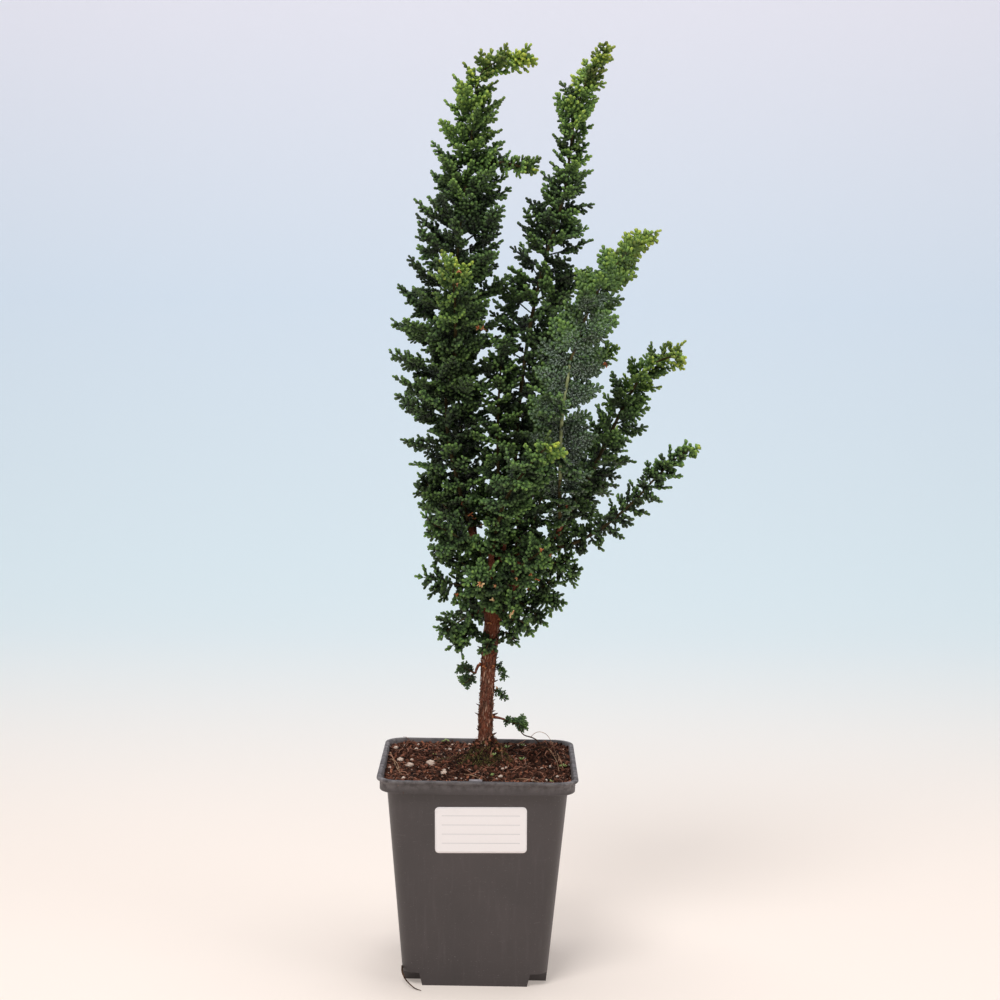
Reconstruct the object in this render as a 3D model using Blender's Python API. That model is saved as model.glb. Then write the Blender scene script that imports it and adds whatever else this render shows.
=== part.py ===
# A hinoki cypress in training as a bonsai, standing in its square nursery pot.
# Metres, +Z up. The origin is the middle of the pot's underside, and the label faces -Y.
# Lists of points below are in millimetres and are scaled by MM where they are used.
import math
import random

import bmesh
import bpy
import numpy as np
from mathutils import Matrix, Vector

MM = 0.001
GAP = 0.3  # kept between neighbouring pieces

# The pot: an 11 cm square container with a stepped collar and a narrow lip
POT_HEIGHT = 118.4
LIP_HALF = 55.0
LIP_HEIGHT = 1.5
COLLAR_HALF = 53.4
COLLAR_HEIGHT = 7.9
SHELF_RISE = 1.9  # from the collar's foot outside to the step inside
WALL_TOP_HALF = 49.4
WALL_FOOT_HALF = 39.6
WALL = 1.2
FLOOR = 1.5
NOTCH_HEIGHT = 7.2
FOOT_HALF = 28.9
FOOT_TOP_HALF = 30.6
DRAIN_RADIUS = 3.2
DRAIN_OFFSET = 34.2
SHOULDER_RISE = 0.9  # the slope under the collar
# Corner radii, from the foot up
FOOT_CORNER = 8.0
WALL_TOP_CORNER = 10.0
COLLAR_CORNER = 11.2
LIP_CORNER = 11.8
ARM_CORNER = 3.0

# The label stuck on the front wall
LABEL_WIDTH = 50.0
LABEL_HEIGHT = 26.2
LABEL_THICK = 0.35
LABEL_CORNER = 2.2
LABEL_CENTRE = (2.3, 90.2)
LABEL_TURN = math.radians(0.8)

# The soil, and the hole that the trunk stands in
SOIL_EDGE_Z = 113.8
MOUND_RISE = 6.0
MOUND_REACH = 17.0
TRUNK_FOOT = (5.0, 0.0, 93.0)
TRUNK_FOOT_RADIUS = 6.8
SOIL_RINGS = (0.0, 0.16, 0.36, 0.56, 0.74, 0.88, 1.0)  # from the wall in to the hole
POINTS_ALONG_SIDE = 3

# The foliage: stems, and the leaf sprays that stand out of them
PLUME_STEM = 1.6
TUFT_STEM = 1.05
PITCH_SHARE = 0.48  # between two rows of sprays, of the widest half width
ROW_PITCH = (4.6, 8.4)  # least and most, for thin shoots and for wide plumes
ROW_TWIST = math.radians(7)
FOOT_SHARE = 0.36  # of a plume's half width, where its sprays begin
SPRAY_LEAN = 0.75  # how far a spray rises toward the tip for each millimetre outward
SPRAY_THICK = 1.5
ROOM_MARGIN = 0.12  # of a neighbour's half width
BARK_CLEAR = 1.4
SHRINKS = (1.0, 0.85, 0.7, 0.55)  # the lengths tried until a spray has room
LIMB_STEP = 14.0  # between the rings of the bole and limbs
SEAT_LENGTH = 3.0  # the straight end of a limb, where its plume begins
ROOM_STEP = 5.0

# The bole's centre line and radii (x, y, z, radius)
BOLE = [
    (5.0, 0, 93, 6.8), (5.0, 0, 111, 6.8), (4.7, 0, 121, 5.6), (4.3, 0, 131, 4.8), (4.3, 0, 152, 4.5),
    (5.0, 0, 175, 4.6), (6.2, 0, 192, 4.8), (6.8, 0, 204, 4.2),
]

# The plumes: name, leaf colour, the limb (x, y, z, radius) that leads to it from the bole, its own
# centre line (x, y, z, half width) from the limb's end to its tip, and its side shoots
PLUMES = [
    ("left_leader_plume", "dark", [(6.6, 0, 196, 3.8), (3, 0, 214, 3.4), (-3, 2, 235, 2.9)], [
        (-7, 3, 251, 6), (-13, 3, 272, 15), (-20, 3, 304, 22), (-21, 4, 343, 25), (-19, 5, 377, 24),
        (-15, 5, 410, 23), (-12, 4, 437, 19), (-9, 3, 464, 15), (-7, 2, 486, 13), (-4, 1, 500, 10),
        (6, 0, 507, 8), (18, -1, 508, 6), (27, -2, 508, 4)],
     [[(-20, 0, 322, 8), (-16, -16, 350, 12), (-16, -32, 374, 12), (-17, -42, 390, 9), (-15, -46, 398, 5)],
      [(-9, 3, 452, 6), (7, 0, 452, 6), (18, -2, 450, 6), (28, -3, 448, 4)]]),
    ("right_leader_plume", "dark", [(17, 2, 215, 2.3), (20, 5, 234, 2.1)], [
        (21, 7, 258, 6), (18, 9, 288, 16), (20, 12, 321, 20), (24, 14, 355, 22), (29, 13, 383, 22),
        (36, 10, 411, 20), (42, 8, 433, 17), (45, 6, 454, 11), (47, 4, 473, 12), (51, 3, 490, 12),
        (56, 2, 501, 8), (62, 1, 511, 6), (67, 0, 519, 4)],
     []),
    ("front_right_plume", "blue", [(33, 4, 235, 2.0), (38, -4, 243, 1.8)], [
        (43, -12, 254, 6), (44, -20, 280, 17), (45, -28, 313, 21), (49, -30, 343, 23), (56, -26, 367, 21),
        (64, -20, 386, 16), (73, -15, 400, 12), (84, -10, 411, 8), (97, -6, 417, 5)],
     [[(52, -22, 340, 7), (64, -8, 346, 8), (73, -2, 353, 6)]]),
    ("right_arching_plume", "mid", [
        (7.0, 0, 194, 3.6), (12, 1, 206, 3.3), (20, 2, 219, 3.0), (32, 3, 234, 2.5)], [
        (46, 9, 252, 6), (60, 16, 279, 16), (70, 18, 299, 18), (79, 18, 319, 15), (88, 15, 335, 12),
        (97, 12, 344, 9), (106, 8, 347, 8), (114, 5, 346, 5)],
     []),
    ("low_right_plume", "dark", [(28, 3, 229, 1.9), (36, 1, 236, 1.7)], [
        (44, 0, 240, 5), (55, 0, 244, 11), (69, -3, 253, 12), (85, -6, 268, 11), (98, -9, 283, 9),
        (111, -12, 295, 6), (122, -14, 299, 4)],
     []),
    ("front_plume", "mid", [(6.6, 0, 198, 2.4), (6, -9, 219, 2.0)], [
        (6, -18, 239, 5), (10, -30, 261, 12), (16, -40, 276, 14), (24, -48, 288, 13), (33, -54, 299, 9),
        (42, -58, 303, 5)],
     []),
    ("inner_plume", "dark", [(2, 0, 218, 1.7), (9, -1, 230, 1.5)], [
        (12, -4, 243, 5), (9, -6, 275, 13), (8, -8, 311, 13), (9, -8, 338, 11), (11, -6, 358, 6)],
     []),
    ("back_left_plume", "dark", [(-1, 1, 228, 1.9), (-4, 9, 237, 1.8)], [
        (-5, 17, 249, 6), (-9, 30, 270, 15), (-13, 38, 302, 19), (-16, 45, 336, 19), (-14, 49, 365, 15),
        (-12, 52, 388, 7)],
     []),
    ("back_right_plume", "dark", [(20, 4, 226, 1.9), (22, 11, 238, 1.8)], [
        (25, 19, 252, 6), (29, 32, 274, 15), (33, 42, 304, 19), (36, 48, 337, 17), (40, 52, 366, 12),
        (44, 55, 386, 6)],
     []),
    ("back_far_right_plume", "mid", [(30, 4, 232, 1.8), (37, 11, 238, 1.6)], [
        (44, 18, 246, 5), (57, 32, 265, 14), (68, 43, 288, 13), (78, 50, 306, 7)],
     []),
    ("back_low_plume", "dark", [(-2, 1, 231, 1.5), (-5, 8, 235, 1.3)], [
        (-9, 15, 239, 4), (-18, 28, 248, 12), (-27, 39, 261, 11), (-33, 46, 272, 6)],
     []),
]

# The low tufts: name, point on the bark that its twig leaves, and centre line of the spray
TUFTS = [
    ("tuft_left_upper", (-4, 2, 239), [
        (-14, 9, 252, 5), (-23, 13, 263, 14), (-31, 15, 272, 12), (-38, 17, 280, 6)]),
    ("tuft_left_mid", (2, 0, 216), [
        (-5, 0, 217, 5), (-14, 0, 218, 12), (-26, -2, 221, 11), (-36, -4, 223, 6)]),
    ("tuft_left_front", (-1, 1, 229), [
        (-6, -7, 240, 5), (-15, -18, 248, 14), (-25, -25, 254, 10), (-34, -28, 262, 5)]),
    ("tuft_left_low", (5, 0, 201), [
        (-1, -3, 203, 5), (-9, -8, 200, 12), (-17, -12, 195, 11), (-24, -14, 188, 6)]),
    ("tuft_front", (6.6, -1, 203), [
        (5, -8, 209, 5), (4, -19, 217, 13), (0, -29, 225, 11), (-5, -37, 231, 6)]),
    ("tuft_front_right", (12, 1, 206), [
        (13, -8, 219, 5), (21, -21, 231, 14), (31, -30, 240, 11), (38, -35, 246, 6)]),
    ("tuft_right_mid", (16, 2, 213), [
        (22, 3, 212, 5), (31, 6, 213, 12), (40, 8, 209, 10), (46, 8, 202, 6)]),
    ("tuft_right_upper", (27, 3, 229), [
        (36, 8, 228, 5), (46, 11, 225, 10), (58, 13, 223, 6)]),
    ("tuft_right_low", (8, 0, 196), [
        (12, -5, 197, 5), (18, -13, 201, 11), (25, -17, 198, 10), (29, -18, 190, 6)]),
    ("tuft_back", (7, 0, 203), [
        (9, 8, 212, 5), (12, 22, 215, 14), (19, 36, 221, 12), (25, 47, 226, 6)]),
    ("tuft_back_low", (5, 1, 198), [
        (1, 6, 203, 5), (-5, 17, 203, 13), (-12, 31, 204, 9)]),
    ("shoot_left", (4.6, 0, 181), [
        (-1, -1, 179, 3), (-5, -2, 175, 8), (-10, -3, 167, 7)]),
    ("shoot_right_upper", (5.4, 0, 183), [
        (10.5, 1, 181, 3), (15, 2, 172, 5)]),
    ("shoot_right_mid", (4.4, 0, 160), [
        (10, 0, 158, 3), (17, 1, 151, 5)]),
    ("shoot_right_low", (4.3, 0, 144), [
        (10, 0, 142.5, 3), (17, -1, 141, 5), (27, -3, 141, 4)]),
]


def clear_scene():
    for obj in list(bpy.data.objects):
        bpy.data.objects.remove(obj, do_unlink=True)


def make_material(name, colour, roughness):
    material = bpy.data.materials.new(name)
    material.use_nodes = True
    shader = material.node_tree.nodes["Principled BSDF"]
    shader.inputs["Base Color"].default_value = (*colour, 1.0)
    shader.inputs["Roughness"].default_value = roughness
    shader.inputs["Metallic"].default_value = 0.0
    material.diffuse_color = (*colour, 1.0)
    return material


def make_object(name, bm, material=None):
    """A mesh object from a bmesh in millimetres, with its faces turned outward."""
    bmesh.ops.scale(bm, verts=bm.verts, vec=(MM, MM, MM))
    bmesh.ops.recalc_face_normals(bm, faces=bm.faces)
    mesh = bpy.data.meshes.new(name)
    bm.to_mesh(mesh)
    bm.free()
    obj = bpy.data.objects.new(name, mesh)
    bpy.context.scene.collection.objects.link(obj)
    if material:
        mesh.materials.append(material)
    return obj


def skin_rings(bm, rings):
    """Walls between rings of equal point counts, with a cap on the first and on the last."""
    loops = [[bm.verts.new(point) for point in ring] for ring in rings]
    for lower, upper in zip(loops, loops[1:]):
        for i in range(len(lower)):
            j = (i + 1) % len(lower)
            bm.faces.new((lower[i], lower[j], upper[j], upper[i]))
    bm.faces.new(list(reversed(loops[0])))
    bm.faces.new(loops[-1])


def rounded_rectangle(half_x, half_y, corner, z, steps=2, along_sides=0):
    """Points round a rectangle whose corners are arcs, anticlockwise from above."""
    points = []
    for quarter, (sign_x, sign_y) in enumerate([(1, 1), (-1, 1), (-1, -1), (1, -1)]):
        centre_x = sign_x * (half_x - corner)
        centre_y = sign_y * (half_y - corner)
        for step in range(steps + 1):
            angle = math.radians(90 * (quarter + step / steps))
            points.append((centre_x + corner * math.cos(angle), centre_y + corner * math.sin(angle), z))
        end_x, end_y, _ = points[-1]
        across, along = (end_x, 0) if quarter % 2 == 0 else (0, end_y)
        for step in range(1, along_sides + 1):
            share = 2 * step / (along_sides + 1)
            points.append((end_x - across * share, end_y - along * share, z))
    return points


def apply_boolean(obj, operation, other=None, collection=None, solver="EXACT"):
    """Applies one Boolean to the object and removes what it was made with."""
    modifier = obj.modifiers.new(operation.title(), "BOOLEAN")
    modifier.operation = operation
    modifier.solver = solver
    if collection:
        modifier.operand_type = "COLLECTION"
        modifier.collection = collection
    else:
        modifier.object = other
    bpy.context.view_layer.update()
    graph = bpy.context.evaluated_depsgraph_get()
    result = bpy.data.meshes.new_from_object(obj.evaluated_get(graph))
    obj.modifiers.remove(modifier)
    used = list(collection.objects) if collection else [other]
    for each in used:
        bpy.data.objects.remove(each, do_unlink=True)
    if collection:
        bpy.data.collections.remove(collection)
    old = obj.data
    obj.data = result
    bpy.data.meshes.remove(old)


def keep_main_body(obj):
    """Drops the loose scraps and the sealed hollows that a union can leave."""
    bm = bmesh.new()
    bm.from_mesh(obj.data)
    unseen = set(bm.faces)
    shells = []
    while unseen:
        shell = []
        queue = [unseen.pop()]
        while queue:
            face = queue.pop()
            shell.append(face)
            for edge in face.edges:
                for neighbour in edge.link_faces:
                    if neighbour in unseen:
                        unseen.discard(neighbour)
                        queue.append(neighbour)
        shells.append(shell)
    shells.sort(key=len, reverse=True)
    for shell in shells[1:]:
        bmesh.ops.delete(bm, geom=shell, context="FACES")
    bm.to_mesh(obj.data)
    bm.free()


def wall_half(z):
    """Half the pot's outer width at height z of its sloping wall."""
    return WALL_FOOT_HALF + (WALL_TOP_HALF - WALL_FOOT_HALF) * z / (POT_HEIGHT - COLLAR_HEIGHT)


def foot_half(z):
    """Half the width of each foot of the cross-shaped underside at height z."""
    return FOOT_HALF + (FOOT_TOP_HALF - FOOT_HALF) * z / NOTCH_HEIGHT


def inside_shapes(inset, top_rings, along_sides=0):
    """The pot's inside drawn in by inset: the main space, and the two arms of the sunk cross."""
    shelf = NOTCH_HEIGHT + FLOOR + inset
    floor = FLOOR + inset
    side = WALL + inset
    main = bmesh.new()
    shoulder = POT_HEIGHT - COLLAR_HEIGHT + 0.4
    low_half = wall_half(shelf) - side
    high_half = WALL_TOP_HALF - side
    rings = [
        rounded_rectangle(low_half, low_half, FOOT_CORNER - 0.5, shelf, along_sides=along_sides),
        rounded_rectangle(high_half, high_half, WALL_TOP_CORNER - WALL, shoulder, along_sides=along_sides),
    ]
    skin_rings(main, rings + top_rings)
    arms = []
    for along_x in (True, False):
        arm = bmesh.new()
        rings = []
        for z, clear in ((floor, 0.0), (shelf + 0.6, 0.2)):
            long = wall_half(z) - side - clear
            wide = foot_half(min(z, NOTCH_HEIGHT)) - side
            half_x, half_y = (long, wide) if along_x else (wide, long)
            rings.append(rounded_rectangle(half_x, half_y, ARM_CORNER, z, steps=1))
        skin_rings(arm, rings)
        arms.append(arm)
    return [main] + arms


def make_pot(material):
    step_z = POT_HEIGHT - COLLAR_HEIGHT
    lip_z = POT_HEIGHT - LIP_HEIGHT
    bm = bmesh.new()
    skin_rings(bm, [
        rounded_rectangle(WALL_FOOT_HALF, WALL_FOOT_HALF, FOOT_CORNER, 0),
        rounded_rectangle(WALL_TOP_HALF, WALL_TOP_HALF, WALL_TOP_CORNER, step_z),
        rounded_rectangle(COLLAR_HALF - 0.3, COLLAR_HALF - 0.3, COLLAR_CORNER, step_z + SHOULDER_RISE),
        rounded_rectangle(COLLAR_HALF, COLLAR_HALF, COLLAR_CORNER, lip_z),
        rounded_rectangle(LIP_HALF, LIP_HALF, LIP_CORNER, lip_z + 0.1),
        rounded_rectangle(LIP_HALF, LIP_HALF, LIP_CORNER, POT_HEIGHT - 0.4),
        rounded_rectangle(LIP_HALF - 0.5, LIP_HALF - 0.5, LIP_CORNER - 0.4, POT_HEIGHT),
    ])
    pot = make_object("pot", bm, material)
    collar_inside = COLLAR_HALF - WALL
    inner_corner = COLLAR_CORNER - WALL
    top = [
        rounded_rectangle(collar_inside, collar_inside, inner_corner, step_z + SHELF_RISE),
        rounded_rectangle(collar_inside, collar_inside, inner_corner, POT_HEIGHT + 5),
    ]
    for space in inside_shapes(0, top):
        apply_boolean(pot, "DIFFERENCE", make_object("space", space))
    for sign_x in (-1, 1):
        for sign_y in (-1, 1):
            notch = bmesh.new()
            rings = []
            for z in (-2.0, NOTCH_HEIGHT):
                near = foot_half(z)
                far = LIP_HALF
                corners = [(near, near), (far, near), (far, far), (near, far)]
                rings.append([(sign_x * x, sign_y * y, z) for x, y in corners])
            skin_rings(notch, rings)
            apply_boolean(pot, "DIFFERENCE", make_object("notch", notch))
            hole = bmesh.new()
            bmesh.ops.create_cone(
                hole, cap_ends=True, segments=10, radius1=DRAIN_RADIUS, radius2=DRAIN_RADIUS, depth=8.0,
                matrix=Matrix.Translation((sign_x * DRAIN_OFFSET, sign_y * DRAIN_OFFSET, NOTCH_HEIGHT)))
            apply_boolean(pot, "DIFFERENCE", make_object("hole", hole))
    return pot


def make_label(material):
    """A thin card lying 0.3 mm off the sloping front wall."""
    bm = bmesh.new()
    skin_rings(bm, [
        rounded_rectangle(LABEL_WIDTH / 2, LABEL_HEIGHT / 2, LABEL_CORNER, 0),
        rounded_rectangle(LABEL_WIDTH / 2, LABEL_HEIGHT / 2, LABEL_CORNER, LABEL_THICK),
    ])
    label = make_object("label", bm, material)
    slope = math.atan2(WALL_TOP_HALF - WALL_FOOT_HALF, POT_HEIGHT - COLLAR_HEIGHT)
    x, z = LABEL_CENTRE
    place = Matrix.Translation(Vector((x, -wall_half(z), z)) * MM)
    place @= Matrix.Rotation(math.radians(90) + slope, 4, "X")
    place @= Matrix.Rotation(LABEL_TURN, 4, "Z") @ Matrix.Translation((0, 0, GAP * MM))
    label.matrix_world = place
    return label


def soil_height(x, y):
    """The lumpy surface: level near the wall, and a mossy mound round the trunk."""
    from_trunk = math.hypot(x - TRUNK_FOOT[0], y - TRUNK_FOOT[1])
    mound = MOUND_RISE * math.exp(-((from_trunk / MOUND_REACH) ** 2))
    lumps = 0.7 * math.sin(0.31 * x + 1.3) * math.cos(0.27 * y) + 0.5 * math.sin(0.53 * y - 0.4 * x)
    return SOIL_EDGE_Z + mound + lumps


def make_soil(material):
    """The earth that fills the pot, in rings from the wall in to the hole, and down to its floor."""
    edge = COLLAR_HALF - WALL - GAP
    step_z = POT_HEIGHT - COLLAR_HEIGHT + SHELF_RISE + GAP
    wall_ring = rounded_rectangle(
        edge, edge, COLLAR_CORNER - WALL - GAP, step_z, along_sides=POINTS_ALONG_SIDE)
    hole_radius = TRUNK_FOOT_RADIUS + GAP + 0.1
    rings = [wall_ring]
    for share in SOIL_RINGS:
        ring = []
        for i, (x, y, _) in enumerate(wall_ring):
            angle = math.radians(45) + 2 * math.pi * (i - 1) / len(wall_ring)
            hole_x = TRUNK_FOOT[0] + hole_radius * math.cos(angle)
            hole_y = TRUNK_FOOT[1] + hole_radius * math.sin(angle)
            point_x = x + (hole_x - x) * share
            point_y = y + (hole_y - y) * share
            ring.append((point_x, point_y, soil_height(point_x, point_y)))
        rings.append(ring)
    rings.append([(x, y, TRUNK_FOOT[2] - GAP) for x, y, _ in rings[-1]])
    shapes = inside_shapes(GAP, rings, along_sides=POINTS_ALONG_SIDE)
    soil = make_object("soil", shapes[0], material)
    for arm in shapes[1:]:
        apply_boolean(soil, "UNION", make_object("arm", arm))
    return soil


def smooth_route(points, spacing):
    """Points about spacing apart along a smooth curve through the given (x, y, z, radius) points."""
    nodes = [Vector(point) for point in points]
    ends = [2 * nodes[0] - nodes[1]] + nodes + [2 * nodes[-1] - nodes[-2]]
    route = []
    for a, b, c, d in zip(ends, ends[1:], ends[2:], ends[3:]):
        count = max(1, round((c - b).to_3d().length / spacing))
        for i in range(count):
            t = i / count
            bent = 2 * b + (c - a) * t + (2 * a - 5 * b + 4 * c - d) * t**2 + (3 * b - a - 3 * c + d) * t**3
            route.append(bent / 2)
    route.append(nodes[-1])
    return [(point.to_3d(), point[3]) for point in route]


def frames_along(route):
    """For each point: its tangent and two directions square to it that turn as little as they can."""
    frames = []
    side = Vector((0.31, 0.93, 0.18))
    for i, (point, _) in enumerate(route):
        before = route[max(i - 1, 0)][0]
        after = route[min(i + 1, len(route) - 1)][0]
        tangent = (after - before).normalized()
        side = (side - tangent * side.dot(tangent)).normalized()
        frames.append((tangent, side, tangent.cross(side)))
    return frames


def tube_mesh(points, spacing, sides):
    """A closed tube with flat ends along a smooth curve through (x, y, z, radius) points."""
    route = smooth_route(points, spacing)
    rings = []
    for (point, radius), (_, side, across) in zip(route, frames_along(route)):
        ring = []
        for i in range(sides):
            angle = 2 * math.pi * i / sides
            ring.append(point + radius * (math.cos(angle) * side + math.sin(angle) * across))
        rings.append(ring)
    bm = bmesh.new()
    skin_rings(bm, rings)
    return bm


def seat_direction(points):
    return (Vector(points[1][:3]) - Vector(points[0][:3])).normalized()


def make_trunk(material):
    """The bole with the limbs and brown twigs that carry the sprays, grown together as one piece."""
    trunk = make_object("trunk", tube_mesh(BOLE, LIMB_STEP, 9), material)
    pieces = bpy.data.collections.new("limbs")
    bpy.context.scene.collection.children.link(pieces)
    carriers = [(limb, centre_line, PLUME_STEM, 6) for _, _, limb, centre_line, _ in PLUMES]
    carriers += [([(*start, TUFT_STEM * 1.4)], centre_line, TUFT_STEM, 5) for _, start, centre_line in TUFTS]
    for points, centre_line, radius, sides in carriers:
        seat = Vector(centre_line[0][:3])
        before = seat - seat_direction(centre_line) * SEAT_LENGTH
        shape = tube_mesh(points + [(*before, radius * 1.05), (*seat, radius)], LIMB_STEP, sides)
        limb = make_object("limb", shape)
        bpy.context.scene.collection.objects.unlink(limb)
        pieces.objects.link(limb)
    apply_boolean(trunk, "UNION", collection=pieces, solver="MANIFOLD")
    keep_main_body(trunk)
    return trunk


def limb_routes():
    """The centre lines and radii of the bole and of every limb and twig."""
    routes = [smooth_route(BOLE, ROOM_STEP)]
    for _, _, limb, centre_line, _ in PLUMES:
        routes.append(smooth_route(limb + [(*centre_line[0][:3], PLUME_STEM)], ROOM_STEP))
    for _, start, centre_line in TUFTS:
        routes.append(smooth_route([(*start, TUFT_STEM), (*centre_line[0][:3], TUFT_STEM)], ROOM_STEP))
    return routes


class Room:
    """Which places belong to which spray, so that neighbours never grow through each other."""

    def __init__(self, sprays):
        self.owners = []
        centres = []
        halves = []
        for name, _, lines, _ in sprays:
            for line in lines:
                for point, half in smooth_route(line, ROOM_STEP):
                    self.owners.append(name)
                    centres.append(point)
                    halves.append(half)
        self.owners = np.array(self.owners)
        self.centres = np.array(centres)
        self.halves = np.array(halves)
        bark = [pair for route in limb_routes() for pair in route]
        self.bark_centres = np.array([point for point, _ in bark])
        self.bark_radii = np.array([radius for _, radius in bark])

    def holds(self, name, point, share):
        """Whether a point, at this share of its own spray's half width, is clear of all the others."""
        away = np.linalg.norm(self.centres - np.array(point), axis=1) / self.halves
        from_bark = np.linalg.norm(self.bark_centres - np.array(point), axis=1) - self.bark_radii
        return away[self.owners != name].min() > share + ROOM_MARGIN and from_bark.min() > BARK_CLEAR


def leafy_body(name, centre_line, stem_radius, room, draw):
    """A stem closely set with blunt, flattened leaf sprays, staggered and leaning to its tip.

    Rows and columns of points wind round the stem. Every second point is drawn out into a spray with
    a four-cornered end, and its four neighbours stay near the stem as its foot, so the whole is one
    closed surface.
    """
    widest = max(half for _, _, _, half in centre_line)
    route = smooth_route(centre_line, min(max(PITCH_SHARE * widest, ROW_PITCH[0]), ROW_PITCH[1]))
    start = route[0][0]
    route[0] = (start + (route[1][0] - start).normalized() * GAP, route[0][1])
    columns = 10 if widest > 14 else 8 if widest > 8 else 6
    last = len(route) - 1
    bm = bmesh.new()
    feet = {}
    sprays = {}
    for j, ((point, half), (tangent, side, across)) in enumerate(zip(route, frames_along(route))):
        foot = min(max(stem_radius * 0.9, FOOT_SHARE * half), stem_radius + j * 1.5)
        if j in (0, last):
            foot = stem_radius if j == 0 else 0.7
        for i in range(columns):
            angle = 2 * math.pi * i / columns + ROW_TWIST * j
            outward = math.cos(angle) * side + math.sin(angle) * across
            around = tangent.cross(outward)
            tries = [half * draw.uniform(0.80, 1.04) * shrink for shrink in SHRINKS]
            bend = outward + around * draw.uniform(-0.16, 0.16) + tangent * draw.uniform(-0.12, 0.12)
            tips = [point + bend * reach + tangent * SPRAY_LEAN * (reach - foot) for reach in tries]
            free = [
                (tip, reach) for tip, reach in zip(tips, tries)
                if reach > foot + 1 and room.holds(name, tip, reach / half)]
            if (i + j) % 2 == 0 and 0 < j < last and free:
                tip, reach = free[0]
                wide = around * (0.9 + 0.06 * reach)
                thick = (tangent - outward * SPRAY_LEAN).normalized() * SPRAY_THICK / 2
                sprays[i, j] = [bm.verts.new(tip + offset) for offset in (wide, thick, -wide, -thick)]
            else:
                feet[i, j] = bm.verts.new(point + outward * foot)
    for j in range(last + 1):
        for i in range(columns):
            if (i + j) % 2:
                continue
            ring = [((i + 1) % columns, j), (i, j + 1), ((i - 1) % columns, j), (i, j - 1)]
            for here, there, corner in zip(ring, ring[1:] + ring[:1], range(4)):
                if here not in feet or there not in feet:
                    continue
                if (i, j) in sprays:
                    end = sprays[i, j]
                    bm.faces.new((feet[here], feet[there], end[(corner + 1) % 4], end[corner]))
                else:
                    bm.faces.new((feet[here], feet[there], feet[i, j]))
            if (i, j) in sprays:
                bm.faces.new(sprays[i, j])
    bm.faces.new([feet[i, 0] for i in range(columns)])
    bm.faces.new([feet[i, last] for i in range(columns)])
    bmesh.ops.triangulate(bm, faces=[face for face in bm.faces if len(face.verts) == 4])
    return bm


def make_sprays(colours):
    """Every plume and tuft as one solid of its own: its leafy body, with its side shoots fused on."""
    draw = random.Random(11)
    sprays = [(name, tint, [line] + shoots, PLUME_STEM) for name, tint, _, line, shoots in PLUMES]
    sprays += [(name, "mid", [line], TUFT_STEM) for name, _, line in TUFTS]
    room = Room(sprays)
    made = []
    for name, tint, lines, stem in sprays:
        bodies = [leafy_body(name, line, stem, room, draw) for line in lines]
        spray = make_object(name, bodies[0], colours[tint])
        for body in bodies[1:]:
            apply_boolean(spray, "UNION", make_object("shoot", body), solver="MANIFOLD")
        keep_main_body(spray)
        made.append(spray)
    return made


def main():
    clear_scene()
    plastic = make_material("pot_plastic", (0.062, 0.062, 0.070), 0.42)
    paper = make_material("label_paper", (0.86, 0.84, 0.85), 0.55)
    earth = make_material("soil", (0.055, 0.026, 0.016), 0.95)
    bark = make_material("bark", (0.19, 0.075, 0.040), 0.85)
    colours = {
        "dark": make_material("foliage_dark", (0.030, 0.095, 0.035), 0.6),
        "mid": make_material("foliage_mid", (0.050, 0.140, 0.045), 0.6),
        "blue": make_material("foliage_blue", (0.075, 0.145, 0.095), 0.6),
    }
    pieces = [make_pot(plastic), make_label(paper), make_soil(earth)]
    pieces.append(make_trunk(bark))
    pieces += make_sprays(colours)
    stand = bpy.data.objects.new("bonsai", None)
    bpy.context.scene.collection.objects.link(stand)
    for piece in pieces:
        piece.data.shade_smooth()
        piece.data.set_sharp_from_angle(angle=math.radians(35))
        piece.parent = stand


main()
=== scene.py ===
# A young hinoki cypress trained as a bonsai, growing in its square nursery pot.
# Metres, +Z up. The pot's underside is centred on the origin, and the label faces -Y.
import math
import random

import bmesh
import bpy
import numpy as np
from mathutils import Matrix, Vector, noise
from mathutils.bvhtree import BVHTree


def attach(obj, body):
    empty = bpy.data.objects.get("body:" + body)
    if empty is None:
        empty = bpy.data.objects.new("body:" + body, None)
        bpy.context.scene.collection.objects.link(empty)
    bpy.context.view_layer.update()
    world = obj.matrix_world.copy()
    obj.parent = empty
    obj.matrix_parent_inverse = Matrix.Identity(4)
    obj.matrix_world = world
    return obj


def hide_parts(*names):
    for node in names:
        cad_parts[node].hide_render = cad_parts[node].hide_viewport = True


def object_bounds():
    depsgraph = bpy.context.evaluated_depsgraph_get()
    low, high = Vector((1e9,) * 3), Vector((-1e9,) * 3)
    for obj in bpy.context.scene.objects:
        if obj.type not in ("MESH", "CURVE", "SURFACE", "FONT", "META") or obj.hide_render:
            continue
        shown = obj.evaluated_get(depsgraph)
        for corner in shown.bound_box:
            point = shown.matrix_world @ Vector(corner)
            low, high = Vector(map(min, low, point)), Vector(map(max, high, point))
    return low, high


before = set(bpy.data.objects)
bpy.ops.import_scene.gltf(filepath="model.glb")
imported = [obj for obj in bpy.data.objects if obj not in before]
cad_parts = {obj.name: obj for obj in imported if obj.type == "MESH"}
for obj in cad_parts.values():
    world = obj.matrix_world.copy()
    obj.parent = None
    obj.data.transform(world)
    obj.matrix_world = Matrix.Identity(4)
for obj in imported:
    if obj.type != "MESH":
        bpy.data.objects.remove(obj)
cad_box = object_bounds()
MM = 0.001


# Camera
# It stands 1.16 m in front of the tree, a little higher than the lower branches, and looks down by
# six degrees through a long lens, so the soil shows over the pot's front lip.
def put(name, data):
    """A new object in the scene, for a camera, a light or a mesh."""
    made = bpy.data.objects.new(name, data)
    bpy.context.scene.collection.objects.link(made)
    return made


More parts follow.
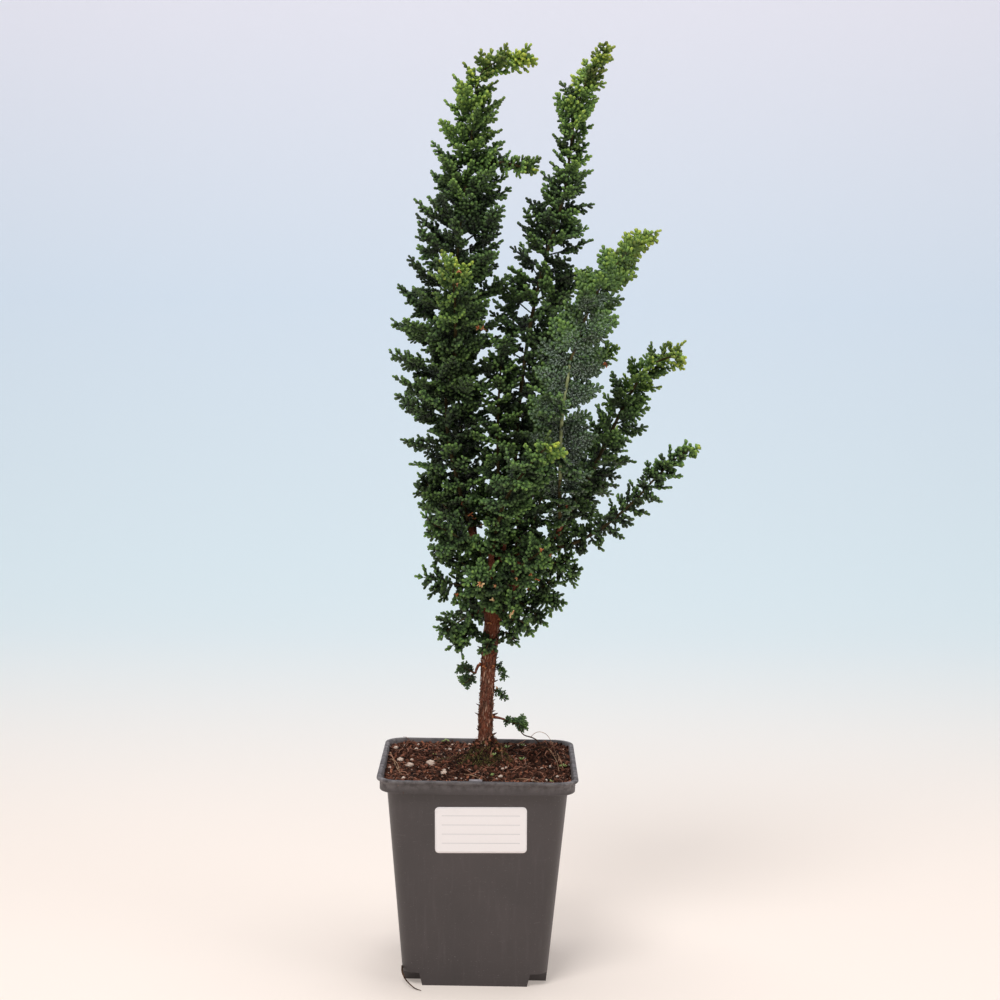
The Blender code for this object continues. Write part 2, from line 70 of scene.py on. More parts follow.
camera_data = bpy.data.cameras.new("camera")
camera_data.sensor_width = 36.0
camera_data.lens = 75.18
camera_data.clip_end = 20.0
camera = put("camera", camera_data)
bpy.context.scene.camera = camera
bpy.context.scene.view_settings.view_transform = "Standard"
look_down = math.radians(5.916)
camera_roll = math.radians(0.909)
camera.matrix_world = (
    Matrix.Translation((0.00983, -1.1589, 0.38599))
    @ Matrix.Rotation(math.pi / 2 - look_down, 4, "X")
    @ Matrix.Rotation(camera_roll, 4, "Z"))


# Floor, backdrop and lights
# One pale paper sweep runs from under the pot up to a backdrop, cream at the foot, faint blue in the
# middle and lavender at the top. A soft box stands in front, with fills at the right and overhead.
class Wire:
    """A socket of a node tree. Arithmetic on it adds Math nodes, and add() adds any other node."""

    def __init__(self, tree, socket=None):
        self.tree = tree
        self.socket = socket

    def add(self, kind, settings=None, sockets=None, output=0):
        made = self.tree.nodes.new(kind)
        for name, value in (settings or {}).items():
            if name == "stops":
                ramp = made.color_ramp
                ramp.elements.remove(ramp.elements[1])
                ramp.elements[0].position = value[0][0]
                ramp.elements[0].color = (*value[0][1], 1)
                for position, colour in value[1:]:
                    ramp.elements.new(position).color = (*colour, 1)
            else:
                setattr(made, name, value)
        for key, value in (sockets or {}).items():
            if isinstance(value, Wire):
                self.tree.links.new(value.socket, made.inputs[key])
            elif value is not None:
                made.inputs[key].default_value = value
        return Wire(self.tree, made.outputs[output])

    def axis(self, name):
        """One of a vector's numbers, by its name: X, Y or Z."""
        return self.add("ShaderNodeSeparateXYZ", None, {"Vector": self}, name)

    def joined(self, x, y, z):
        """A vector of three numbers or wires."""
        return self.add("ShaderNodeCombineXYZ", None, {0: x, 1: y, 2: z})

    def math(self, operation, other=0.0, swapped=False):
        pair = (other, self) if swapped else (self, other)
        return self.add("ShaderNodeMath", {"operation": operation}, {0: pair[0], 1: pair[1]})

    def __add__(self, other):
        return self.math("ADD", other)

    def __sub__(self, other):
        return self.math("SUBTRACT", other)

    def __rsub__(self, other):
        return self.math("SUBTRACT", other, swapped=True)

    def __mul__(self, other):
        return self.math("MULTIPLY", other)

    def __pow__(self, other):
        return self.math("POWER", other)

    __radd__ = __add__
    __rmul__ = __mul__

    def rising(self, low, high):
        """From 0 at low to 1 at high, smoothly."""
        ends = {"Value": self, "From Min": low, "From Max": high}
        return self.add("ShaderNodeMapRange", {"interpolation_type": "SMOOTHSTEP"}, ends)

    def ramp(self, *stops):
        return self.add("ShaderNodeValToRGB", {"stops": stops}, {"Fac": self})

    def colours(self, first, second):
        """The first colour where this wire is 0, and the second where it is 1."""
        first, second = [c if isinstance(c, Wire) else (*c, 1) for c in (first, second)]
        return self.add("ShaderNodeMix", {"data_type": "RGBA"}, {0: self, 6: first, 7: second}, 2)

    def noise(self, scale, detail=2.0, stretch=(1, 1, 1), roughness=0.5):
        """Noise over a vector wire; stretch scales each of its axes first."""
        mapped = self.add("ShaderNodeMapping", None, {"Vector": self, "Scale": stretch})
        values = {"Vector": mapped, "Scale": scale, "Detail": detail, "Roughness": roughness}
        return self.add("ShaderNodeTexNoise", None, values)


class Finish(Wire):
    """A Principled material, which starts as a wire with no socket."""

    def __init__(self, name, **constants):
        self.material = bpy.data.materials.new(name)
        self.material.use_nodes = True
        super().__init__(self.material.node_tree)
        self.shader = self.tree.nodes["Principled BSDF"]
        for key, value in constants.items():
            self.socket_for(key).default_value = value

    def socket_for(self, key):
        return self.shader.inputs[key.replace("_", " ").title().replace("Ior", "IOR")]

    def place(self):
        return self.add("ShaderNodeTexCoord", output="Object")

    def value(self, name):
        """A number that the mesh carries under this name."""
        return self.add("ShaderNodeAttribute", {"attribute_name": name}, output="Fac")

    def vector(self, name):
        return self.add("ShaderNodeAttribute", {"attribute_name": name}, output="Vector")

    def paint(self, **wires):
        for key, wire in wires.items():
            self.tree.links.new(wire.socket, self.socket_for(key))

    def emboss(self, height, depth, strength=1.0):
        bump = self.add("ShaderNodeBump", None, {"Height": height, "Distance": depth, "Strength": strength})
        self.paint(normal=bump)


def coat(mesh, material):
    mesh.materials.clear()
    mesh.materials.append(material)


def show(name, mesh, material=None, smooth=True):
    """A finished mesh as an object at the origin."""
    if material:
        coat(mesh, material)
    if smooth:
        mesh.shade_smooth()
    else:
        mesh.shade_flat()
    return put(name, mesh)


sweep_half_width = 3.5
sweep_front = -4.0
sweep_top = 3.2
bend_start = 1.1
bend_radius = 0.9
bend_steps = 24
sweep_edge = [(sweep_front, 0.0), (bend_start, 0.0)]
for step in range(1, bend_steps + 1):
    turn = math.pi / 2 * step / bend_steps
    y = bend_start + bend_radius * math.sin(turn)
    sweep_edge.append((y, bend_radius - bend_radius * math.cos(turn)))
sweep_edge.append((bend_start + bend_radius, sweep_top))
sweep_mesh = bpy.data.meshes.new("sweep")
sweep_mesh.from_pydata(
    [(x, y, z) for y, z in sweep_edge for x in (-sweep_half_width, sweep_half_width)], [],
    [(2 * i, 2 * i + 1, 2 * i + 3, 2 * i + 2) for i in range(len(sweep_edge) - 1)])
cream = (0.695, 0.62, 0.565)
lavender = (0.715, 0.71, 0.785)
paper_backdrop = Finish("backdrop_paper", roughness=0.9, specular_ior_level=0.1, emission_strength=0.42)
spot = paper_backdrop.place()
sky = spot.axis("Z").ramp((0.0, (0.61, 0.70, 0.735)), (0.36, (0.60, 0.68, 0.77)), (0.80, lavender))
paper = spot.axis("Y").rising(0.1, 1.45).colours(cream, sky)
paper_backdrop.paint(base_color=paper, emission_color=paper)
show("sweep", sweep_mesh, paper_backdrop.material)

world = bpy.data.worlds.new("studio")
bpy.context.scene.world = world
world.use_nodes = True
surroundings = world.node_tree.nodes["Background"]
surroundings.inputs["Color"].default_value = (0.97, 0.98, 1.0, 1)
surroundings.inputs["Strength"].default_value = 0.20


def soft_box(name, place, size, watts):
    """A rectangular lamp at a place in metres that faces the middle of the tree."""
    light = bpy.data.lights.new(name, "AREA")
    light.shape = "RECTANGLE"
    light.size, light.size_y = size
    light.energy = watts
    lamp = put(name, light)
    lamp.location = place
    aim = Vector((0, 0, 0.28)) - Vector(place)
    lamp.rotation_euler = aim.to_track_quat("-Z", "Y").to_euler()


soft_box("key", (-0.45, -1.1, 1.75), (0.8, 0.7), 21)
soft_box("fill_right", (1.5, -0.9, 0.9), (0.9, 1.2), 6)
soft_box("top", (0.1, 0.1, 1.8), (0.8, 0.6), 12)

# Nursery pot
# A square injection-moulded pot of dark recycled plastic, 110 mm over its lip. Its walls taper to a
# cross-shaped foot, with a notch and a drain hole at each corner, and a stepped collar stiffens its top.
pot_height = 118.4
lip_half = 55.0
collar_half = 53.4
collar_foot = 110.5
wall_top_half = 49.4
wall_foot_half = 39.6
wall_thick = 1.2
floor_thick = 1.5
notch_height = 7.2
cross_half = 28.9
cross_top_half = 30.6
drain_radius = 3.2
drain_place = 34.2


def rounded_ring(half_x, half_y, corner, z, steps=8):
    """Points round a rectangle with arcs at its corners, anticlockwise from above, in metres."""
    points = []
    for quarter, (sign_x, sign_y) in enumerate([(1, 1), (-1, 1), (-1, -1), (1, -1)]):
        for step in range(steps + 1):
            angle = math.radians(90 * (quarter + step / steps))
            x = sign_x * (half_x - corner) + corner * math.cos(angle)
            y = sign_y * (half_y - corner) + corner * math.sin(angle)
            points.append((x * MM, y * MM, z * MM))
    return points


def square_rings(profile):
    """One ring for each row of a profile: half width, corner radius and height."""
    return [rounded_ring(half, half, corner, z) for half, corner, z in profile]


def skin_over(skin, loops):
    """Adds faces over rings of vertices, given from one end to the other, and closes both ends."""
    for lower, upper in zip(loops, loops[1:]):
        for i in range(len(lower)):
            j = (i + 1) % len(lower)
            skin.faces.new((lower[i], lower[j], upper[j], upper[i]))
    skin.faces.new(loops[0][::-1])
    skin.faces.new(loops[-1])


def loft(rings):
    """A closed skin over rings of equal point counts, given from the foot up."""
    skin = bmesh.new()
    skin_over(skin, [[skin.verts.new(point) for point in ring] for ring in rings])
    return skin


def mesh_from(skin, name):
    mesh = bpy.data.meshes.new(name)
    bmesh.ops.recalc_face_normals(skin, faces=skin.faces)
    skin.to_mesh(mesh)
    skin.free()
    return mesh


def final_mesh(piece):
    """A plain copy of a piece's mesh with its modifiers applied."""
    bpy.context.view_layer.update()
    graph = bpy.context.evaluated_depsgraph_get()
    return bpy.data.meshes.new_from_object(
        piece.evaluated_get(graph), preserve_all_data_layers=True, depsgraph=graph)


def settle(piece):
    """Applies a piece's modifiers to its mesh."""
    result = final_mesh(piece)
    piece.modifiers.clear()
    piece.data = result


def carve(piece, skin):
    """Cuts a closed skin out of a piece."""
    cutter = show("cutter", mesh_from(skin, "cutter"))
    cut = piece.modifiers.new("carve", "BOOLEAN")
    cut.operation = "DIFFERENCE"
    cut.solver = "EXACT"
    cut.object = cutter
    settle(piece)
    bpy.data.objects.remove(cutter)


def wall_half_at(z):
    return wall_foot_half + (wall_top_half - wall_foot_half) * z / collar_foot


def cross_half_at(z):
    """Half the width of the foot's arms, which widen up to the top of the notches."""
    return cross_half + (cross_top_half - cross_half) * min(z / notch_height, 1)


pot_profile = [
    (wall_foot_half, 8.0, 0),
    (wall_top_half, 10.0, collar_foot),
    (collar_half - 0.5, 10.9, collar_foot + 0.5),
    (collar_half - 0.1, 11.1, collar_foot + 1.0),
    (collar_half, 11.2, 116.4),
    (lip_half - 0.3, 11.7, 116.8),
    (lip_half, 11.8, 117.2),
    (lip_half, 11.8, 117.9),
    (lip_half - 0.35, 11.6, 118.3),
    (lip_half - 0.8, 11.3, pot_height)]
inner_foot = notch_height + floor_thick
inner_top_half = collar_half - wall_thick
hollow_profile = [
    (wall_half_at(inner_foot) - wall_thick, 7.5, inner_foot),
    (wall_top_half - wall_thick, 8.8, collar_foot + 0.4),
    (inner_top_half - 0.3, 10.2, collar_foot + 1.9),
    (inner_top_half, 10.4, pot_height - 0.9),
    (inner_top_half + 0.7, 10.9, pot_height + 0.1),
    (inner_top_half + 0.7, 10.9, pot_height + 5)]
pot = show("nursery_pot", mesh_from(loft(square_rings(pot_profile)), "pot"))
carve(pot, loft(square_rings(hollow_profile)))
# The two arms of the cross are hollow too, down to the floor
for along_x in (True, False):
    arm_rings = []
    for z, clear in ((floor_thick, 0.0), (inner_foot + 0.6, 0.2)):
        long_half = wall_half_at(z) - wall_thick - clear
        wide_half = cross_half_at(z) - wall_thick
        halves = (long_half, wide_half) if along_x else (wide_half, long_half)
        arm_rings.append(rounded_ring(*halves, 3.0, z, steps=3))
    carve(pot, loft(arm_rings))
# A notch is cut from under the pot to past its walls, and a drain hole through the notch's roof
beyond = 60
for sign_x in (-1, 1):
    for sign_y in (-1, 1):
        notch_rings = []
        for z in (-2.0, notch_height):
            near = cross_half_at(z)
            corners = [(near, near), (beyond, near), (beyond, beyond), (near, beyond)]
            notch_rings.append([(sign_x * x * MM, sign_y * y * MM, z * MM) for x, y in corners])
        carve(pot, loft(notch_rings))
        drain = bmesh.new()
        drain_centre = (sign_x * drain_place * MM, sign_y * drain_place * MM, notch_height * MM)
        bmesh.ops.create_cone(
            drain, cap_ends=True, segments=24, radius1=drain_radius * MM, radius2=drain_radius * MM,
            depth=0.008, matrix=Matrix.Translation(drain_centre))
        carve(pot, drain)
rounding = pot.modifiers.new("rounding", "BEVEL")
rounding.width = 0.0003
rounding.segments = 2
rounding.limit_method = "ANGLE"
rounding.angle_limit = math.radians(38)
settle(pot)
pot.data.shade_smooth()
pot.data.set_sharp_from_angle(angle=math.radians(40))

# Flow marks run up the walls, scuffs run round them, and soil dust lies on the lip and inside the collar.
# The pale mottling over the lip's whole top, front included, is partly a painted highlight on that top face.
pot_plastic = Finish("dark_nursery_plastic", specular_ior_level=0.45)
spot = pot_plastic.place()
flow_marks = spot.noise(1.0, 3, (420, 420, 16)).rising(0.52, 0.78)
clouds = spot.noise(28, 4)
scuffs = spot.noise(1.0, 4, (160, 160, 900), 0.65).rising(0.62, 0.74)
specks = spot.noise(1500, 1).rising(0.70, 0.78)
grey = clouds.ramp((0.3, (0.054, 0.046, 0.047)), (0.7, (0.069, 0.058, 0.059)))
grey = (flow_marks * 0.35).colours(grey, (0.098, 0.084, 0.086))
grey = (specks * 0.5 + scuffs * 0.16).colours(grey, (0.20, 0.18, 0.175))
from_middle = spot.axis("X").math("ABSOLUTE")
up_pot = spot.axis("Z")
inner_wall = (1 - from_middle.rising(0.0528, 0.0533)) * up_pot.rising(0.1115, 0.1160)
on_lip = up_pot.rising(0.1171, 0.1178)
# Real soil dust inside the collar and at the lip's sides; along the front of the lip the weaker pale
# mottling is a painted highlight
dust_and_lip_highlight = inner_wall.math("MAXIMUM", on_lip) * (0.4 + from_middle.rising(0.042, 0.052) * 0.6)
mottled_dust_and_highlight = dust_and_lip_highlight * spot.noise(260, 5, roughness=0.7).rising(0.34, 0.62) * 0.6
grey = mottled_dust_and_highlight.colours(grey, (0.34, 0.31, 0.31))
pot_plastic.paint(base_color=grey, roughness=0.36 + clouds * 0.16 + flow_marks * 0.08 + dust_and_lip_highlight * 0.2)
pot_plastic.emboss(spot.noise(1.0, 3, (260, 260, 60)) * 0.6 + spot.noise(2600, 2) * 0.2, 0.00012, 0.5)
coat(pot.data, pot_plastic.material)
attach(pot, "root")
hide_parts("pot")
# A thin paler flash of plastic is left standing on the lip's inner edge, 7 mm long
flash_size = (0.0071, 0.0007, 0.0022)
flash_centre = (-0.0009, -0.0527, 0.1184)
flash_skin = bmesh.new()
bmesh.ops.create_cube(flash_skin, size=1.0)
bmesh.ops.scale(flash_skin, vec=flash_size, verts=flash_skin.verts)
bmesh.ops.translate(flash_skin, vec=flash_centre, verts=flash_skin.verts)
bmesh.ops.bevel(flash_skin, geom=flash_skin.edges[:], offset=0.00025, segments=2, affect="EDGES")
pale_plastic = Finish("pale_plastic_flash", roughness=0.5, specular_ior_level=0.4)
pale_grain = pale_plastic.place().noise(1800, 2)
pale_plastic.paint(base_color=pale_grain.colours((0.20, 0.18, 0.20), (0.44, 0.41, 0.43)))
flash = show("rim_flash", mesh_from(flash_skin, "rim_flash"), pale_plastic.material)
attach(flash, "root")

# Label
# A blank write-on sticker of white satin paper on the front wall, a little askew, with four thin grey
# ruled lines. Its corners are rounded, and its lower left corner has begun to lift.
label_width = 50.0
label_height = 26.2
label_corner = 2.2
label_thick = 0.16
label_x = 2.3
label_z = 90.2
label_turn = math.radians(0.8)
label_lean = math.atan2(wall_top_half - wall_foot_half, collar_foot)
label_place = (
    Matrix.Translation(Vector((label_x, -wall_half_at(label_z), label_z)) * MM)
    @ Matrix.Rotation(math.pi / 2 + label_lean, 4, "X")
    @ Matrix.Rotation(label_turn, 4, "Z"))
ruling_pitch = 5.2
ruled_half_width = 21.2
ruled_half_height = 9.6


def rounded_sheet(half_x, half_y, corner, cells_x, cells_y, height_at):
    """A grid with rounded corners as a new bmesh, and its rows of vertices, all from millimetres."""
    sheet = bmesh.new()
    rows = []
    for j in range(cells_y + 1):
        row = []
        for i in range(cells_x + 1):
            x = (2 * i / cells_x - 1) * half_x
            y = (2 * j / cells_y - 1) * half_y
            over = Vector((max(abs(x) - half_x + corner, 0), max(abs(y) - half_y + corner, 0)))
            if over.length > corner:
                over *= corner / over.length
                x = math.copysign(half_x - corner + over.x, x)
                y = math.copysign(half_y - corner + over.y, y)
            row.append(sheet.verts.new((x * MM, y * MM, height_at(x, y) * MM)))
        rows.append(row)
    for lower, upper in zip(rows, rows[1:]):
        for a, b, c, d in zip(lower, lower[1:], upper[1:], upper):
            sheet.faces.new((a, b, c, d))
    return sheet, rows


def store(mesh, name, kind, values):
    """Keeps a value for each of a mesh's points under a name."""
    data = mesh.attributes.new(name, kind, "POINT").data
    data.foreach_set("vector" if kind == "FLOAT_VECTOR" else "value", np.array(values).ravel())


def label_stand(x, y):
    """How far the paper stands off the wall, most of all at its lower left corner."""
    to_corner = math.hypot(x + label_width / 2, y + label_height / 2)
    return 0.12 + 0.5 * max(0.0, 1 - to_corner / 5.0) ** 2


sticker, _ = rounded_sheet(label_width / 2, label_height / 2, label_corner, 40, 20, label_stand)
# Edge points that the rounding has drawn onto one spot become one, so no face is without area
bmesh.ops.remove_doubles(sticker, verts=sticker.verts, dist=0.001 * MM)
label_mesh = mesh_from(sticker, "label")
store(label_mesh, "ruling", "FLOAT_VECTOR", [v.co / MM for v in label_mesh.vertices])
label_mesh.transform(label_place)
label = show("blank_label", label_mesh)
backing = label.modifiers.new("backing", "SOLIDIFY")
backing.thickness = label_thick * MM
backing.offset = 1
settle(label)
white_paper = Finish("white_label_paper", specular_ior_level=0.4)
ruled = white_paper.vector("ruling")
off_middle = ruled.axis("X").math("ABSOLUTE")
line_height = ruled.axis("Y")
from_line = (line_height + 20.5).math("FLOORED_MODULO", ruling_pitch) - ruling_pitch / 2
on_line = 1 - from_line.math("ABSOLUTE").rising(0.07, 0.15)
in_width = 1 - off_middle.rising(ruled_half_width, ruled_half_width + 0.2)
in_height = 1 - line_height.math("ABSOLUTE").rising(ruled_half_height, ruled_half_height + 0.2)
fibres = white_paper.place().noise(900, 3)
sheet_white = fibres.colours((0.945, 0.90, 0.90), (0.985, 0.95, 0.95))
white_paper.paint(
    base_color=(on_line * in_width * in_height * 0.75).colours(sheet_white, (0.33, 0.34, 0.36)),
    roughness=0.42 + fibres * 0.2)
white_paper.emboss(fibres, 0.00004, 0.4)
coat(label.data, white_paper.material)
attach(label, "root")
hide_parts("label")

# Potting soil
# Moist peat and shredded bark fill the pot to five millimetres under its lip, and rise in a low mossy
# mound round the trunk. The surface is lumpy, and looser crumbs, chips and fibres lie on it.
soil_half = 51.9
soil_corner = 9.9
soil_top = 113.2
soil_foot = 9.2
soil_cells = 100
trunk_x = 5.0


def soil_level(x, y):
    """The surface's height over the point (x, y), all in millimetres."""
    from_trunk = math.hypot(x - trunk_x, y)
    mound = 18.0 * math.exp(-((from_trunk / 9.2) ** 2)) + 3.0 * math.exp(-((from_trunk / 23.0) ** 2))
    lumps = 0.7 * math.sin(0.31 * x + 1.3) * math.cos(0.27 * y) + 0.5 * math.sin(0.53 * y - 0.4 * x)
    clump = 9.5 * math.exp(-((x - 38) ** 2 + (y - 17) ** 2) / 95.0)
    toward_back = max(0.0, min(1.0, (y + 5) / 45))
    rise = 2.6 * toward_back**2 * (3 - 2 * toward_back)
    along_root = max(0.0, min(1.0, (-6 - x) / 20))
    root = 2.4 * math.exp(-((y - 12 + 5 * along_root) ** 2 + (x + 6 + 20 * along_root) ** 2) / 5.0)
    return soil_top + mound + lumps + clump + rise + root * (1 - 0.6 * along_root)


def rough_level(x, y):
    """The same with the surface's small roughness."""
    coarse = noise.noise(Vector((x, y, 3.0)) * 0.35)
    fine = noise.noise(Vector((x, y, 9.0)) * 0.9)
    return soil_level(x, y) + (1.5 * coarse + 0.8 * fine)


def moss_share(place):
    """How mossy the surface is there: most round the trunk and on one root, less at the bark's foot."""
    from_trunk = math.hypot(place.x / MM - trunk_x, place.y / MM)
    from_root = math.hypot((place.x / MM + 16) / 3.2, place.y / MM - 10)
    patchy = 7.0 * noise.noise(place * 120)
    bare_foot = max(0.25, min(1.0, (from_trunk - 5.0) / 4.0))
    return bare_foot * max(0.0, min(1.0, (15.5 + patchy - min(from_trunk, from_root + 11)) / 6.0))


surface, grid = rounded_sheet(soil_half, soil_half, soil_corner, soil_cells, soil_cells, rough_level)
ground_mesh = bpy.data.meshes.new("ground")
surface.to_mesh(ground_mesh)
store(ground_mesh, "mossy", "FLOAT", [moss_share(v.co) for v in ground_mesh.vertices])
# Under its edge the soil narrows to the pot's walls, and ends over the floor
rim = grid[0][:-1] + [row[-1] for row in grid[:-1]] + grid[-1][:0:-1] + [row[0] for row in grid[:0:-1]]
above = rim
foot_share = (wall_half_at(soil_foot) - 1.5) / soil_half
for share, z in ((1.0, 112.7), (0.925, 111.4), (foot_share, soil_foot)):
    ring = [surface.verts.new((v.co.x * share, v.co.y * share, z * MM)) for v in rim]
    for i in range(len(rim)):
        j = (i + 1) % len(rim)
        surface.faces.new((above[i], ring[i], ring[j], above[j]))
    above = ring
surface.faces.new(above[::-1])
soil_finish = Finish("peat_and_bark", roughness=0.95, specular_ior_level=0.2)
crumbly = soil_finish.place().noise(420, 5, roughness=0.7)
soil_finish.paint(base_color=crumbly.ramp(
    (0.36, (0.004, 0.0025, 0.002)), (0.54, (0.032, 0.014, 0.009)), (0.72, (0.16, 0.072, 0.046))))
soil_finish.emboss(crumbly, 0.0008, 0.9)
soil = show("potting_soil", mesh_from(surface, "soil"), soil_finish.material)
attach(soil, "root")
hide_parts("soil")


# Crumbs, chips, fibres and perlite on the soil
# Thousands of small loose bits lie on the surface: peat crumbs, reddish bark chips, wiry fibres and
# white perlite grains. One scatter tree strews each kind over the ground with its own seed.
def start_tree(name, inputs):
    """An empty Geometry Nodes tree: its own geometry wire, and a wire for each named input."""
    tree = bpy.data.node_groups.new(name, "GeometryNodeTree")
    tree.interface.new_socket("Geometry", in_out="INPUT", socket_type="NodeSocketGeometry")
    for title, (kind, default) in inputs.items():
        socket = tree.interface.new_socket(title, in_out="INPUT", socket_type="NodeSocket" + kind)
        if default is not None:
            socket.default_value = default
    tree.interface.new_socket("Geometry", in_out="OUTPUT", socket_type="NodeSocketGeometry")
    source = tree.nodes.new("NodeGroupInput")
    return {socket.name: Wire(tree, socket) for socket in source.outputs if socket.name}


def end_tree(result, material, smooth=False):
    """Makes the copies real, gives them their material and closes the tree."""
    whole = result.add("GeometryNodeRealizeInstances", None, {"Geometry": result})
    if smooth:
        whole = result.add("GeometryNodeSetShadeSmooth", None, {"Geometry": whole})
    whole = result.add("GeometryNodeSetMaterial", None, {"Geometry": whole, "Material": material})
    out = whole.tree.nodes.new("NodeGroupOutput")
    whole.tree.links.new(whole.socket, out.inputs[0])
    return whole.tree


def stored(wire, name, kind="FLOAT"):
    """What store() left on each point of the mesh, in the tree of the given wire."""
    return wire.add("GeometryNodeInputNamedAttribute", {"data_type": kind}, {"Name": name})


def grow(name, mesh, tree, **values):
    """Runs a tree over a mesh and returns its result as a plain object."""
    seedbed = show("seedbed", mesh)
    nodes = seedbed.modifiers.new("grow", "NODES")
    nodes.node_group = tree
    for item in tree.interface.items_tree:
        key = item.name.lower().replace(" ", "_")
        if item.in_out == "INPUT" and key in values:
            nodes[item.identifier] = values[key]
    result = final_mesh(seedbed)
    bpy.data.objects.remove(seedbed)
    result.name = name
    return put(name, result)


def make_scatter_tree():
    given = start_tree("scatter", {
        "Shape": ("Object", None), "Density": ("Float", 1000.0), "Seed": ("Int", 1),
        "Smallest": ("Float", 0.8), "Largest": ("Float", 1.6), "Tilt": ("Float", 0.5),
        "On Moss": ("Float", 0.0), "Material": ("Material", None)})
    start = given["Geometry"]
    seed = given["Seed"]
    tilt = given["Tilt"]
    wanted = 1 - (given["On Moss"] - stored(start, "mossy")).math("ABSOLUTE")
    strewn = start.add("GeometryNodeDistributePointsOnFaces", None, {
        "Mesh": start, "Density": given["Density"] * wanted, "Seed": seed})
    spun = start.add("FunctionNodeRandomValue", {"data_type": "FLOAT_VECTOR"}, {
        0: start.joined(tilt * -1, tilt * -1, -math.pi), 1: start.joined(tilt, tilt, math.pi),
        "Seed": seed + 1}, 0)
    sized = start.add("FunctionNodeRandomValue", {"data_type": "FLOAT"}, {
        2: given["Smallest"], 3: given["Largest"], "Seed": seed + 2}, 1)
    shade = start.add("FunctionNodeRandomValue", {"data_type": "FLOAT"}, {"Seed": seed + 3}, 1)
    placed = start.add("GeometryNodeInstanceOnPoints", None, {
        "Points": strewn,
        "Instance": start.add("GeometryNodeObjectInfo", None, {"Object": given["Shape"]}, "Geometry"),
        "Rotation": start.add("FunctionNodeEulerToRotation", None, {"Euler": spun}),
        "Scale": start.joined(sized, sized, sized)})
    placed = start.add("GeometryNodeStoreNamedAttribute", {"data_type": "FLOAT", "domain": "INSTANCE"}, {
        "Geometry": placed, "Name": "shade", "Value": shade})
    return end_tree(placed, given["Material"])


def pebble(name, seed, stretch, subdivisions=1):
    """A lumpy grain about 1 mm across, hidden: only its copies show."""
    grain = bmesh.new()
    bmesh.ops.create_icosphere(grain, subdivisions=subdivisions, radius=0.0005)
    draw = random.Random(seed)
    for v in grain.verts:
        v.co *= draw.uniform(0.72, 1.25)
        v.co = Vector((v.co.x * stretch[0], v.co.y * stretch[1], v.co.z * stretch[2]))
    made = show(name, mesh_from(grain, name), smooth=False)
    made.hide_render = True
    return made


def directions_round(side, other, count):
    """Unit vectors evenly round the axis that side and other stand square to."""
    for k in range(count):
        angle = 2 * math.pi * k / count
        yield math.cos(angle) * side + math.sin(angle) * other


def strand(name, path, radius):
    """A thin three-sided tube through points in millimetres, hidden: only its copies show."""
    points = [Vector(p) * MM for p in path]
    rings = []
    for i, point in enumerate(points):
        heading = (points[min(i + 1, len(points) - 1)] - points[max(i - 1, 0)]).normalized()
        side = heading.orthogonal().normalized()
        slim = radius * MM * (0.5 if i in (0, len(points) - 1) else 1.0)
        rings.append([point + slim * out for out in directions_round(side, heading.cross(side), 3)])
    made = show(name, mesh_from(loft(rings), name))
    made.hide_render = True
    return made


def speckled(name, dark, light, roughness=0.9):
    """A dull finish whose bits vary from one colour to another."""
    finish = Finish(name, roughness=roughness, specular_ior_level=0.12)
    grain = finish.place().noise(1500, 2)
    finish.paint(base_color=(finish.value("shade") ** 2.6 * 0.85 + grain * 0.15).colours(dark, light))
    finish.emboss(grain, 0.0002, 0.5)
    return finish.material


scatter_tree = make_scatter_tree()
fibre_path = [
    (-3.2, 0, 0), (-2.0, 0.7, 0.5), (-0.7, 0.6, 0.9), (0.6, -0.2, 0.8), (1.9, -0.6, 0.5),
    (3.1, 0.1, 0.1)]
# Name, shape, how many on a square metre, smallest and largest scale, tilt, share on moss, and finish
litter = [
    ("soil_crumbs", pebble("crumb", 3, (1.2, 0.9, 0.8)), 300000, 0.7, 2.9, 1.3, 0.35,
     speckled("peat_crumb", (0.007, 0.003, 0.002), (0.34, 0.13, 0.080))),
    ("bark_chips", pebble("chip", 5, (2.4, 0.9, 0.5)), 52000, 0.8, 2.0, 0.9, 0.2,
     speckled("bark_chip", (0.022, 0.008, 0.005), (0.60, 0.23, 0.13))),
    ("soil_fibres", strand("fibre", fibre_path, 0.13), 105000, 0.5, 1.4, 0.8, 0.1,
     speckled("soil_fibre", (0.055, 0.017, 0.010), (0.86, 0.42, 0.28))),
    ("pale_grit", pebble("grit", 12, (1.3, 0.9, 0.8)), 42000, 0.35, 1.25, 1.5, 0.15,
     speckled("pale_grit", (0.30, 0.16, 0.10), (0.95, 0.80, 0.68), 0.7)),
    ("perlite_grains", pebble("perlite", 8, (1.0, 0.9, 0.8), 2), 6500, 0.7, 1.6, 1.5, 0.1,
     speckled("perlite", (0.52, 0.38, 0.30), (0.96, 0.84, 0.75), 0.8)),
]
for number, (name, shape, density, smallest, largest, tilt, on_moss, material) in enumerate(litter):
    strewn = grow(
        name, ground_mesh.copy(), scatter_tree, shape=shape, density=float(density), seed=20 + 10 * number,
        smallest=smallest, largest=largest, tilt=tilt, on_moss=on_moss, material=material)
    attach(strewn, "root")
    bpy.data.objects.remove(shape)

